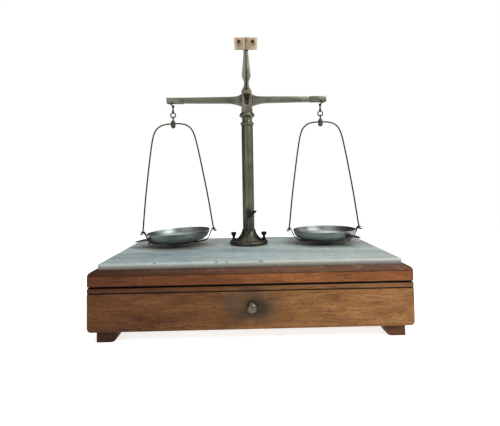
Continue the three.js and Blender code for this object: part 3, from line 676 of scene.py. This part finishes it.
def make_frame():
    """Each mitred rail of the top frame, from its moulded section."""
    bottom, top = (corner.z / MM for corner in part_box("frame_front"))
    curve = [(FRAME_RIM * (1 - math.sin(a)), top - FRAME_SHOULDER * (1 - math.cos(a)))
             for a in (math.pi / 2 * i / 12 for i in range(13))]
    ledge = [(FRAME_LEDGE, bottom), (FRAME_LEDGE, FRAME_REBATE_Z), (FRAME_RIM, FRAME_REBATE_Z)]
    section = [(0, bottom), *ledge, *curve]
    for side in ("front", "back", "left", "right"):
        low, high = [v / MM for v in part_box(f"frame_{side}")]
        ends = []
        for end in (-1, 1):
            ring = []
            for inset, z in section:
                x = low.x + inset
                if side == "right" or (side in ("front", "back") and end > 0):
                    x = high.x - inset
                y = low.y + inset
                if side == "back" or (side in ("left", "right") and end > 0):
                    y = high.y - inset
                ring.append((x, y, z))
            ends.append(ring)
        look = RAIL_WOOD if side in ("front", "back") else SIDE_RAIL_WOOD
        stand_for(f"frame_{side}", loft(*ends), look, WOOD, 0.25)


def make_marble():
    """The slab, with its holes for the stud and the thumb screws and with chips along its front edge."""
    low, high = [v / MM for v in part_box("marble_top")]
    size, middle = high - low, (high + low) / 2
    r = MARBLE_BEVEL
    angles = (0.3, 0.6, 0.9, 1.2, math.pi / 2)
    rounded = [(r - r * math.cos(a), size.z - r + r * math.sin(a)) for a in angles]
    top = slab(size.x, size.y, MARBLE_CORNER, [(0.5, 0), (0, 0.6), (0, size.z - r), *rounded])
    moved(top, Matrix.Translation((middle.x, middle.y, low.z)))
    axis = AXIS / MM
    hole = rod(STUD_R + 0.8, low.z - 2, high.z + 2, 32, axis.x, axis.y)
    sockets = [rod(SCREW_HOLE, high.z - 11, high.z + 2, 24, axis.x + x, axis.y)
               for x in (-SCREW_X, SCREW_X)]
    chips = []
    for x, r in ((-43.5, 1.3), (-30, 0.7), (11.6, 1.2), (14.4, 0.7), (-120, 0.8), (92, 0.6)):
        ball = [(r * math.cos(a), r * math.sin(a)) for a in (-1, -0.5, 0, 0.5, 1)]
        chip = lathe([(0, -r), *ball, (0, r)], 10)
        place = Matrix.Translation((middle.x + x, low.y + 0.5, high.z - 0.2))
        chips.append(moved(chip, place @ Matrix.Diagonal((1.6, 1, 0.8, 1))))
    stand_for("marble_top", cut(top, hole, *sockets, *chips), MARBLE, WOOD)


def make_drawer():
    """The drawer front with a groove and a bead along its top edge, the knob, and the plain tray behind."""
    low, high = [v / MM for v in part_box("drawer_front")]
    t, bottom, top = high.y - low.y, low.z, high.z
    bead = smooth([(0.5, BEAD_Z), (0, (top + GROOVE_Z) / 2 + 0.5), (0.9, top - 0.9), (3, top)], 5)
    section = [(0, bottom + 2), (0, GROOVE_Z), (1.7, GROOVE_Z), (1.7, BEAD_Z), *bead, (t, top), (t, bottom),
               *arc(2, bottom + 2, 2, 270, 180, 5)[:-1]]
    bar = loft(*[[(x, low.y + y, z) for y, z in section] for x in (low.x, high.x)])
    r = DRAWER_CORNER
    outline = [*arc(high.x - r, bottom + r, r, -90, 0, 8), (high.x, top + 2), (low.x, top + 2),
               *arc(low.x + r, bottom + r, r, 180, 270, 8)]
    blank = combined("INTERSECT", bar, [prism(outline, low.y - 2, high.y + 2)])
    knob = centre("drawer_knob") / MM
    hole = pin(KNOB_PIN_R + 0.4, knob.x, knob.z, low.y - 2, low.y + 8)
    stand_for("drawer_front", cut(blank, hole), FRONT_WOOD, WOOD, 0.35)

    ball = smooth([(2.9, 2), (2.6, 3.2), (3.1, 4.6), (5, 6.3), (6.3, 8.8), (6.6, 11), (6.2, 13.4),
                   (4.9, 15.4), (2.6, 16.7), (0, 17)], 5)
    profile = [(0, -8), (KNOB_PIN_R, -8), (KNOB_PIN_R, 0.4), (3.6, 0.4), (3.6, 1.2), *ball]
    turn = Matrix.Translation((knob.x, low.y, knob.z)) @ Matrix.Rotation(math.pi / 2, 4, "X")
    stand_for("drawer_knob", moved(lathe(profile, 64), turn), PEWTER, WOOD)
    for node in ("drawer_side_left", "drawer_side_right", "drawer_back", "drawer_floor"):
        keep(node, SOFTWOOD)


def make_case():
    for node in ("case_side_left", "case_side_right"):
        keep(node, SIDE_WOOD, 0.6)
    keep("case_back", BACK_WOOD, 0.6)
    for node in ("case_floor", "drawer_runner_left", "drawer_runner_right", "sub_top"):
        keep(node, SOFTWOOD)


# ---------- the column ----------
CONE = [(21.5, 6.8), (18.6, 9.3), (14.2, 14.5), (11.3, 20), (10.4, 23.5)]


def make_base():
    """The flange with its cone, two ribs and stud, the thumb screws, and the nut under the box's top."""
    flange = [(29.8, GAP), (FLANGE_R, 1), (FLANGE_R, 4), (30.1, 4.9), (29.5, 5.7), (28.4, 6.2), (23, 6.5)]
    stud = [(0, -STUD_LENGTH), (STUD_R, -STUD_LENGTH), (STUD_R, GAP)]
    body = lathe([*stud, *flange, *smooth(CONE, 5), (9.6, 23.5), (9.6, 8), (0, 8)])
    crest = [(r + 1.8, z + 1) for r, z in smooth(CONE[:3], 4)]
    rib = [(10.5, 6), (24.6, 6), *crest, (10.5, 15.5)]
    ribs = [turned_z(prism(rib, -1.7, 1.7), turn) for turn in (-90, 90)]
    holes = [rod(SCREW_HOLE, -1, 9, 24, x) for x in (-SCREW_X, SCREW_X)]
    stand_for("column_base", cut(union(body, *ribs), *holes), DARK_BRASS, METAL, 0.3)

    neck = smooth([(2.6, 9.2), (2.15, 11), (2.3, 13), (3.7, 15)], 4)
    head = [(4.4, 15.6), (4.4, 18.4), (3.9, 19.2), (3.2, 19.2), (2.4, 18.5), (0, 18.2)]
    screw = [(0, -10), (1.8, -10), (1.8, 7.1), (2.9, 7.1), (2.9, 8.4), *neck, *head]
    for side, x in (("left", -SCREW_X), ("right", SCREW_X)):
        obj = moved(lathe(screw, 48), Matrix.Translation((x, 0, 0)))
        stand_for(f"thumb_screw_{side}", obj, BLACKENED, METAL, 0.12)
    keep("fixing_nut", STEEL)


def make_column():
    """The tube, with a hole for the lever's shaft, and the capital on top of it."""
    r, bore, low, top = COLUMN_R, COLUMN_BORE, COLUMN_LOW, COLUMN_TOP
    tube = lathe([(bore, low), (r, low), (r, top - 0.3), (r - 0.3, top), (bore, top)])
    stand_for("column_tube", cut(tube, pin(2.3, 0, LEVER_Z, -12, 0)), COLUMN_BRASS)
    ring = smooth([(10.2, 193), (10.9, 194), (11, 195), (10.8, 196)], 4)
    waist = smooth([(9, 197.2), (8.1, 199), (7.9, 201.5), (8.4, 203.8), (9.8, 205.2)], 4)
    crown = smooth([(11.2, 206), (12.3, 207.3), (12.4, 208.8), (11.6, 210.2)], 4)
    low, top = COLUMN_TOP + GAP, HEAD_LOW - GAP
    capital = [(4.4, low), (9.4, low), (9.6, 192.4), *ring, *waist, *crown, (11.3, top - 0.4), (10.9, top),
               (4.4, top)]
    stand_for("capital", lathe(capital), COLUMN_BRASS)


def make_lever():
    """The half-round boss, drawn lying down and then stood upright, and the winged lever in front of it."""
    front = arc(0, BOSS_Y, BOSS_R, 180, 360, 16)
    bar = prism([*front, (BOSS_R, -4), (-BOSS_R, -4)], -62, -16)
    moved(bar, Matrix(((1, 0, 0, 0), (0, 0, 1, 0), (0, -1, 0, 0), (0, 0, 0, 1))))
    neck = smooth([(4.6, 42.6), (3.4, 44.6), (3, 47)], 4)
    half = [(0, 15), (5, 15), (5, 42), *neck, *arc(0, 57.4, 3, 0, 90, 8)]
    boss = combined("INTERSECT", bar, [prism(mirror(half), -16, -2)])
    cone = lathe([(0, 6), *[(r + 0.5, z + 0.5) for r, z in CONE], (0, 24)])
    slot = box((-2, -0.6), (-14, -11.4), (39.6, 44.6))
    hollow = rod(COLUMN_R + GAP, 0, 80, 96)
    boss = cut(boss, cone, hollow, slot, pin(2.2, 0, LEVER_Z, -20, 0))
    stand_for("lever_boss", boss, DARK_BRASS, METAL, 0.35)

    upper = smooth([(-3.4, 2.4), (-0.6, 1.5), (2, 1.4), (4.8, 2.2), (8.4, 3), (12.9, 3.2)], 4)
    lower = smooth([(12.9, 2.8), (11, 0), (7.4, -3), (5.9, -4.9), (4.8, -7), (2.4, -8.6), (0, -8.1),
                    (-2.5, -4.4), (-3.8, 0.2)], 4)
    hub = pin(3.2, 0, 0, -17.4, -13.6)
    lever = cut(union(prism([*upper, *lower], -16.8, -14.4), hub), pin(2.1, 0, 0, -20, -10))
    stand_for("lift_lever", moved(lever, Matrix.Translation((0, 0, LEVER_Z))), BLACKENED, METAL, 0.4)
    keep("lever_shaft", STEEL, 0.2)
    keep("lift_rod", STEEL, 0.2)


# ---------- the head and beam ----------
def window(inset):
    """The opening in a cheek of the head: wide at the top, round at the bottom."""
    x, z = WINDOW_HALF - inset, WINDOW_TOP - inset
    return [(x, z), (-x, z), *arc(0, WINDOW_ROUND_Z, WINDOW_R - inset, 180, 360, 12)]


def make_head():
    """A fork with a bearing in each cheek, in whose throat the beam rocks."""
    round_z, r = 241.5, 7.75
    flank = smooth([(8.8, 218.6), (8.35, 226), (7.9, 233), (r, 239)], 4)
    half = [(0, HEAD_LOW), (9, HEAD_LOW), (9, HEAD_LOW + 4), *flank, *arc(0, round_z, r, 0, 90, 14)]
    body = prism(mirror(half), -HEAD_D / 2, HEAD_D / 2)
    throat = box((-20, 20), (CHEEK - HEAD_D / 2, HEAD_D / 2 - CHEEK), (219.5, 262))
    screw_hole = pin(1.5, 0, LYRE_SCREW_Z, 0, 20)
    head = cut(body, throat, prism(window(0), -20, 20), rod(4.3, 211, 218.3, 48), screw_hole)
    stand_for("head", head, HEAD_BRASS, METAL, 0.45)
    for name, y in (("front", GAP - HEAD_D / 2), ("back", HEAD_D / 2 - CHEEK + GAP)):
        bearing = prism(window(GAP), y, y + CHEEK - 2 * GAP)
        bearing = cut(bearing, pin(1.95, 0, PIVOT_Z + 1.6, -20, 20))
        stand_for(f"bearing_{name}", bearing, STEEL, METAL, 0.2)


def plate_sockets():
    return [pin(1.3, x, PLATE_SCREW_Z, 0, 20) for x in (-PLATE_SCREW_X, PLATE_SCREW_X)]


def make_lyre():
    """The lyre behind the beam, with a crossbar for the index plate."""
    low, high = PLATE_SCREW_Z - 4.5, PLATE_SCREW_Z + 3.5
    scroll = smooth([(5.4, 238.2), (5.5, 240.5), (6.6, 244), (8.4, 247.4), (8.8, 250.4), (7.8, 253.6),
                     (5.9, 256.6), (4.5, 260), (4.1, 264), (4.3, 267.6), (5.6, 271.4), (7.1, 275.2),
                     (7.4, 279), (6.7, 287), (5.6, 298), (4.5, 310), (3.9, 320), (3.9, low - 0.6)], 4)
    bar = [(4.3, low), (14.4, low), (15, low + 0.6), (15, high - 0.6), (14.4, high), (0, high)]
    blank = prism(mirror([(0, 238), (5.2, 238), *scroll, *bar]), LYRE_Y, LYRE_Y + LYRE_T)
    lyre = cut(blank, pin(1.5, 0, LYRE_SCREW_Z, 0, 20), *plate_sockets())
    stand_for("lyre", lyre, LYRE_BRASS, METAL, 0.8)
    tip = 6.2
    back = LYRE_Y + LYRE_T + GAP - tip
    screw = [(0, 0), (1.2, 0), (1.2, back), (2.6, back), (2.6, back + 1.3), (2, back + 1.8), (0, back + 2)]
    place = Matrix.Translation((0, tip, LYRE_SCREW_Z)) @ Matrix.Rotation(-math.pi / 2, 4, "X")
    stand_for("lyre_screw", moved(lathe(screw, 32), place), STEEL)


def make_index_plate():
    """The plate, wider and slightly crowned at the top, and its two slotted screws."""
    low, high, half = PLATE_Z, PLATE_Z + PLATE_H, PLATE_HALF
    outline = []
    for x, z in fillet([(-18.6, low), (18.6, low), (half, high), (-half, high)], 1.2):
        rise = PLATE_CROWN * (1 - (x / half) ** 2) if z > high - 2 else 0
        outline.append((x, z + rise))
    plate = cut(prism(outline, PLATE_Y, PLATE_Y + PLATE_T), *plate_sockets())
    stand_for("index_plate", plate, IVORY, METAL, 0.35)
    reach = PLATE_T + GAP + LYRE_T
    head = [(2.3, GAP), (2.3, 0.9), (1.9, 1.4), (1.1, 1.7), (0, 1.75)]
    profile = [(0, -reach), (1, -reach), (1, GAP), *head]
    for side, x, turn in (("left", -PLATE_SCREW_X, 25), ("right", PLATE_SCREW_X, -50)):
        slot = turned_z(box((-3, 3), (-0.3, 0.3), (1.1, 3)), turn)
        screw = moved(cut(lathe(profile, 32), slot), Matrix.Rotation(math.pi / 2, 4, "X"))
        place = Matrix.Translation((x, PLATE_Y, PLATE_SCREW_Z))
        stand_for(f"plate_screw_{side}", moved(screw, place), STEEL)


def make_beam():
    """The beam with its knives, the needle and its nut, and a box over each end."""
    lower = smooth([(0, 222.2), (7.5, 223.3), (13, 225.2), (19, 227), (27, 228.5), (45, 229.1)], 4)
    upper = [(45, 238.7), (27, 238.9), (16, 239.8), (10.5, 242), (7, 245), (3.6, 249), (0, 250.3)]
    tongue = [(BEAM_HALF, 230), (TONGUE, 230), (TONGUE, 236.2), (BEAM_HALF, 236.2)]
    half = [*lower, (BEAM_HALF, 229.8), *tongue, (BEAM_HALF, 238.3), *smooth(upper, 4)]
    blank = prism(mirror(half), -BEAM_T / 2, BEAM_T / 2)
    socket = prism([(-1.7, PIVOT_Z + 2.55), (0, PIVOT_Z - 0.4), (1.7, PIVOT_Z + 2.55)], -10, 10)
    foot = rod(1.9, NEEDLE_FOOT - 0.4, 260)
    stand_for("beam", cut(blank, socket, foot), BRASS, METAL, 1.0)
    keep("centre_knife", STEEL, 0.1)

    low, tip = NEEDLE_FOOT, NEEDLE_TIP
    stem = lathe([(0, low), (1.6, low), (1.6, 255.8), (1.2, 256.6), (0, 256.6)], 32)
    blade = prism([(-1.4, 255.6), (1.4, 255.6), (0.5, tip - 0.4), (0, tip), (-0.5, tip - 0.4)], -0.6, 0.6)
    stand_for("needle", union(stem, blade), NEEDLE_METAL, METAL, 0.15)
    nut = [(1.9, 250.9), (2.3, 250.9), (2.6, 251.4), (2.6, 254), (2.2, 254.6), (1.9, 254.6)]
    stand_for("needle_nut", lathe(nut, 48), DARK_BRASS)

    for side, s in (("left", -1), ("right", 1)):
        d, wall = END_BOX_HALF_D, END_BOX_WALL
        shell = box(sorted((s * (BEAM_HALF + GAP), s * END_BOX_OUT)), (-d, d), (END_BOX_LOW, END_BOX_TOP))
        inside = box(sorted((s * (BEAM_HALF - 2), s * (END_BOX_OUT - wall))), (wall - d, d - wall),
                     (END_BOX_LOW - 1.3, END_BOX_TOP - wall))
        x = s * HANGER_X
        low, high = END_EDGE - 2.6, END_EDGE + 0.5
        notch = prism([(x - 1.85, low), (x + 1.85, low), (x, high)], -10, 10)
        stand_for(f"end_box_{side}", cut(shell, inside, notch), BRASS, METAL, 0.5)
        keep(f"end_knife_{side}", STEEL, 0.1)


# ---------- the hangers and pans ----------
def make_hook(side, chain):
    """A hook over the end knife, with a ring at its lower end."""
    bend = arc(0, END_EDGE - 1.7, 2.9, 15, 180, 8)
    bow = [(2.9, 229.6), *bend, (-3.9, 228.6), (-1.2, 226.8), (0.6, 225.6)]
    stem = smooth([(1.5, 214), (2, 215.4), (1.3, 218.6), (1.3, 222), (2.2, 225.2), (1.4, 226.7)], 5)
    shank = lathe([(0, 214), *stem, (0, 226.8)], 32)
    loop = wire(arc(0, RING_Z, RING_R, 0, 350, 35), 0.95, closed=True)
    hook = union(shank, wire(smooth(bow, 4), 0.9), loop)
    stand_for(f"hook_{side}", turned_z(hook, 0 if side == "left" else 180), HOOK_METAL, chain)


def make_swivel(side, chain):
    """An eye through the hook's ring, on a ferrule that the bail passes through."""
    eye = turned_z(wire(arc(0, EYE_Z, EYE_R, 0, 350, 35), 0.8, closed=True), 90)
    top = EYE_Z - EYE_R + 0.4
    ferrule = smooth([(1.8, 189), (3.1, 190.2), (3.7, 191.8), (3.75, 195), (3.7, 198.2), (3, 200.2),
                      (1.6, 201.8), (1.1, top)], 4)
    body = union(lathe([(0, 188.6), *ferrule, (0, top)], 48), eye)
    hole = turned_z(pin(1.9, 0, SWIVEL_HOLE, -6, 6), 90)
    stand_for(f"swivel_{side}", cut(body, hole), DARK_BRASS, chain)


def make_bail(side, bail):
    """The bail, drawn from the swivel's hole downwards."""
    eye_z = CRADLE_Z - SWIVEL_HOLE
    foot = [(CRADLE_X, eye_z), (57.4, eye_z - 2.4), (58.6, eye_z - 3.2), (60.6, eye_z - 3.3)]
    half = [(12, -0.5), (21, -3), (28, -8.6), (32.6, -17.5), (36.2, -32), (49.2, -112.6), *foot]
    path = [*[(-x, z) for x, z in reversed(half)], (0, 0), *half]
    stand_for(f"bail_{side}", wire(smooth(path, 8), BAIL_WIRE), WIRE, bail)


def make_cradle(side, bail):
    """A strap with a round seat for the pan and an eye at each end, drawn from the swivel's hole too."""
    eye_z = CRADLE_Z - SWIVEL_HOLE
    t = CRADLE_T / 2
    middle = CRADLE_LOW + t - SWIVEL_HOLE
    rise = smooth([(CRADLE_DISC, middle), (36, middle + 0.4), (44, middle + 2.2), (49, middle + 7.4),
                   (52.2, middle + 14.6), (55, eye_z - 0.4)], 6)
    spine = [Vector(p) for p in [*[(-x, z) for x, z in reversed(rise)], *rise]]
    under, over = [], []
    for i, p in enumerate(spine):
        along = (spine[min(i + 1, len(spine) - 1)] - spine[max(i - 1, 0)]).normalized()
        offset = Vector((-along.y, along.x)) * t
        under.append(tuple(p - offset))
        over.append(tuple(p + offset))
    strap = settled(eased(prism([*under, *reversed(over)], -3.5, 3.5), 0.3))
    low, high = middle - t, middle + t
    seat = lathe(fillet([(0, low), (CRADLE_DISC, low), (CRADLE_DISC, high), (0, high)], 0.3))
    eyes = []
    for x in (-CRADLE_X, CRADLE_X):
        place = Matrix.Translation((x, 0, eye_z)) @ Matrix.Rotation(math.pi / 2, 4, "X")
        eyes.append(moved(wire(arc(0, 0, 2.7, 0, 345, 23), 0.8, closed=True), place))
    stand_for(f"cradle_{side}", union(strap, seat, *eyes), WIRE, bail)


def make_pan(side, pan):
    f, rim = PAN_FLOOR, PAN_RIM
    outer = smooth([(26, f), (35, f + 0.8), (42, f + 3.2), (46.8, f + 7.2), (49, f + 11.8),
                    (PAN_R, rim - 1)], 6)
    lip = [(PAN_R, rim - 0.4), (PAN_R - 0.4, rim), (PAN_R - 0.8, rim - 0.4)]
    inner = smooth([(49, rim - 1.1), (48, f + 12.2), (45.8, f + 8), (41.3, f + 4.4), (34.7, f + 1.9),
                    (25.8, f + 1.1)], 6)
    dish = lathe([(0, f), (14, f), *outer, *lip, *inner, (12, f + 1.1), (0, f + 1.1)], 128)
    stand_for(f"pan_{side}", dish, PAN_METAL, pan)


def make_pan_handle(side, pan):
    """A leaf of sheet metal, bent to a gutter, on a round shield that fits the pan's wall."""
    half, rise = LEAF_HALF, 2.6
    under = [(y, rise * (y / half) ** 2) for y in (half * i / 8 for i in range(-8, 9))]
    gutter = prism([*under, *[(y, z + LEAF_T) for y, z in reversed(under)]], -71, -44)
    moved(gutter, Matrix.Rotation(math.pi / 2, 4, "Z"))
    edge = smooth([(46, 4.5), (52, 6.9), (59, 6.2), (65, 3.2), (69.4, 0)], 5)
    leaf = mirror([(0, 46), *[(y, x) for x, y in edge]])
    blank = moved(prism(leaf, -5, 10), Matrix(((0, 0, 1, 0), (1, 0, 0, 0), (0, 1, 0, 0), (0, 0, 0, 1))))
    blade = eased(combined("INTERSECT", gutter, [blank]), 0.3)
    settled(moved(blade, Matrix.Translation((0, 0, LEAF_Z))))
    place = Matrix.Translation((47.4, 0, LEAF_Z)) @ Matrix.Rotation(math.pi / 2, 4, "Y")
    shield = moved(lathe(fillet([(0, 0), (6, 0), (6, 1.4), (0, 1.4)], 0.3), 48), place)
    f, rim = PAN_FLOOR, PAN_RIM
    wall = lathe([(0, f - 1), (28.4, f - 0.4), (35.4, f + 0.4), (42.4, f + 2.8), (47.2, f + 6.8),
                  (49.4, f + 11.4), (50.4, rim - 1.4), (50.4, rim + 4), (0, rim + 4)])
    grip = cut(union(blade, shield), wall)
    stand_for(f"pan_handle_{side}", turned_z(grip, HANDLE[side]), DARK_BRASS, pan)


def make_hanger(side):
    sign = -1 if side == "left" else 1
    chain = METAL @ Matrix.Translation((sign * HANGER_X, 0, 0))
    make_hook(side, chain)
    make_swivel(side, chain)
    lean = Matrix.Rotation(math.radians(-LEAN[side]), 4, "Y")
    bail = chain @ Matrix.Translation((0, 0, SWIVEL_HOLE)) @ lean
    make_bail(side, bail)
    make_cradle(side, bail)
    rim = PAN_RIM - SWIVEL_HOLE
    tilt = math.radians(-PAN_TILT[side])
    shift = Matrix.Translation((-rim * math.sin(tilt), 0, PAN_LIFT[side] + rim - rim * math.cos(tilt)))
    pan = bail @ shift @ Matrix.Rotation(tilt, 4, "Y") @ Matrix.Translation((0, 0, -SWIVEL_HOLE))
    make_pan(side, pan)
    make_pan_handle(side, pan)


make_feet()
make_case()
make_frame()
make_marble()
make_drawer()
make_base()
make_column()
make_lever()
make_head()
make_lyre()
make_index_plate()
make_beam()
for side in SIDES:
    make_hanger(side)


# ---------- floor, light and camera ----------
def make_floor():
    """A pale floor that glows a little, so that it is nearly as white as the backdrop."""
    obj = solid([(-1.6, -1.4, 0), (1.6, -1.4, 0), (1.6, 1, 0), (-1.6, 1, 0)], [[0, 1, 2, 3]])
    obj.name = "floor"
    look = Look("floor", {"Emission Color": (1, 1, 1, 1), "Emission Strength": 0.78})
    colour = look.ramp(look.noise(3, 2), [(0.4, srgb(190, 190, 190)), (0.6, srgb(196, 196, 196))])
    obj.data.materials.append(look.done(colour, look.level(look.noise(20, 2), 0.3, 0.7, 0.85, 0.95)))


def make_light(name, place, target, size, power, colour=(1, 1, 1)):
    data = bpy.data.lights.new(name, "AREA")
    data.shape = "RECTANGLE"
    data.size, data.size_y = size
    data.energy = power
    data.color = colour
    obj = bpy.data.objects.new(name, data)
    scene.collection.objects.link(obj)
    obj.location = place
    obj.rotation_euler = (Vector(target) - Vector(place)).to_track_quat("-Z", "Y").to_euler()


def make_world():
    """White to the camera, and to all else a room that is brighter above and on the drawer's side."""
    world = bpy.data.worlds.new("studio")
    scene.world = world
    world.use_nodes = True
    tree = world.node_tree
    tree.nodes.clear()
    place = tree.nodes.new("ShaderNodeTexCoord").outputs["Generated"]
    axes = tree.nodes.new("ShaderNodeSeparateXYZ")
    tree.links.new(place, axes.inputs[0])
    strength = tree.nodes.new("ShaderNodeMath")
    strength.operation = "MULTIPLY"
    bands = (("Z", (-0.1, 1.0, 0.22, 0.8)), ("Y", (-0.5, 0.4, 1.25, 0.42)))
    for socket, (axis, limits) in zip(strength.inputs, bands):
        band = tree.nodes.new("ShaderNodeMapRange")
        for name, value in zip(("From Min", "From Max", "To Min", "To Max"), limits):
            band.inputs[name].default_value = value
        tree.links.new(axes.outputs[axis], band.inputs["Value"])
        tree.links.new(band.outputs[0], socket)
    room = tree.nodes.new("ShaderNodeBackground")
    tree.links.new(strength.outputs[0], room.inputs["Strength"])
    white = tree.nodes.new("ShaderNodeBackground")
    white.inputs["Strength"].default_value = 1.0
    white.inputs["Color"].default_value = (1, 1, 1, 1)
    path = tree.nodes.new("ShaderNodeLightPath")
    choose = tree.nodes.new("ShaderNodeMixShader")
    tree.links.new(path.outputs["Is Camera Ray"], choose.inputs[0])
    tree.links.new(room.outputs[0], choose.inputs[1])
    tree.links.new(white.outputs[0], choose.inputs[2])
    out = tree.nodes.new("ShaderNodeOutputWorld")
    tree.links.new(choose.outputs[0], out.inputs["Surface"])


def make_camera():
    yaw, pitch, roll = (math.radians(a) for a in (1.135, 2.075, -0.94))
    ahead = Vector((math.sin(yaw) * math.cos(pitch), math.cos(yaw) * math.cos(pitch), math.sin(pitch)))
    right = Vector((math.cos(yaw), -math.sin(yaw), 0))
    up = right.cross(ahead)
    tilted = right * math.cos(roll) + up * math.sin(roll)
    upright = up * math.cos(roll) - right * math.sin(roll)
    data = bpy.data.cameras.new("camera")
    data.lens = 28.22
    data.sensor_width = 36
    data.shift_y = -0.086
    camera = bpy.data.objects.new("camera", data)
    scene.collection.objects.link(camera)
    turn = Matrix((tilted, upright, -ahead)).transposed().to_4x4()
    camera.matrix_world = Matrix.Translation((-0.0091, -0.5952, 0.1901)) @ turn
    scene.camera = camera


make_floor()
make_world()
make_light("key", (1.15, -1.05, 1.35), (0, 0, 0.15), (0.9, 0.9), 30)
make_light("fill", (-0.7, -1.25, 0.65), (0, 0, 0.15), (0.9, 1.2), 4.5, (0.96, 0.98, 1))
make_light("top", (0.1, 0.3, 1.7), (0, 0, 0), (1.6, 1.6), 20)
make_light("side", (1.3, 0.1, 0.42), (0, 0.04, 0.25), (0.45, 1.1), 2.6)
make_camera()
scene.view_settings.view_transform = "Standard"
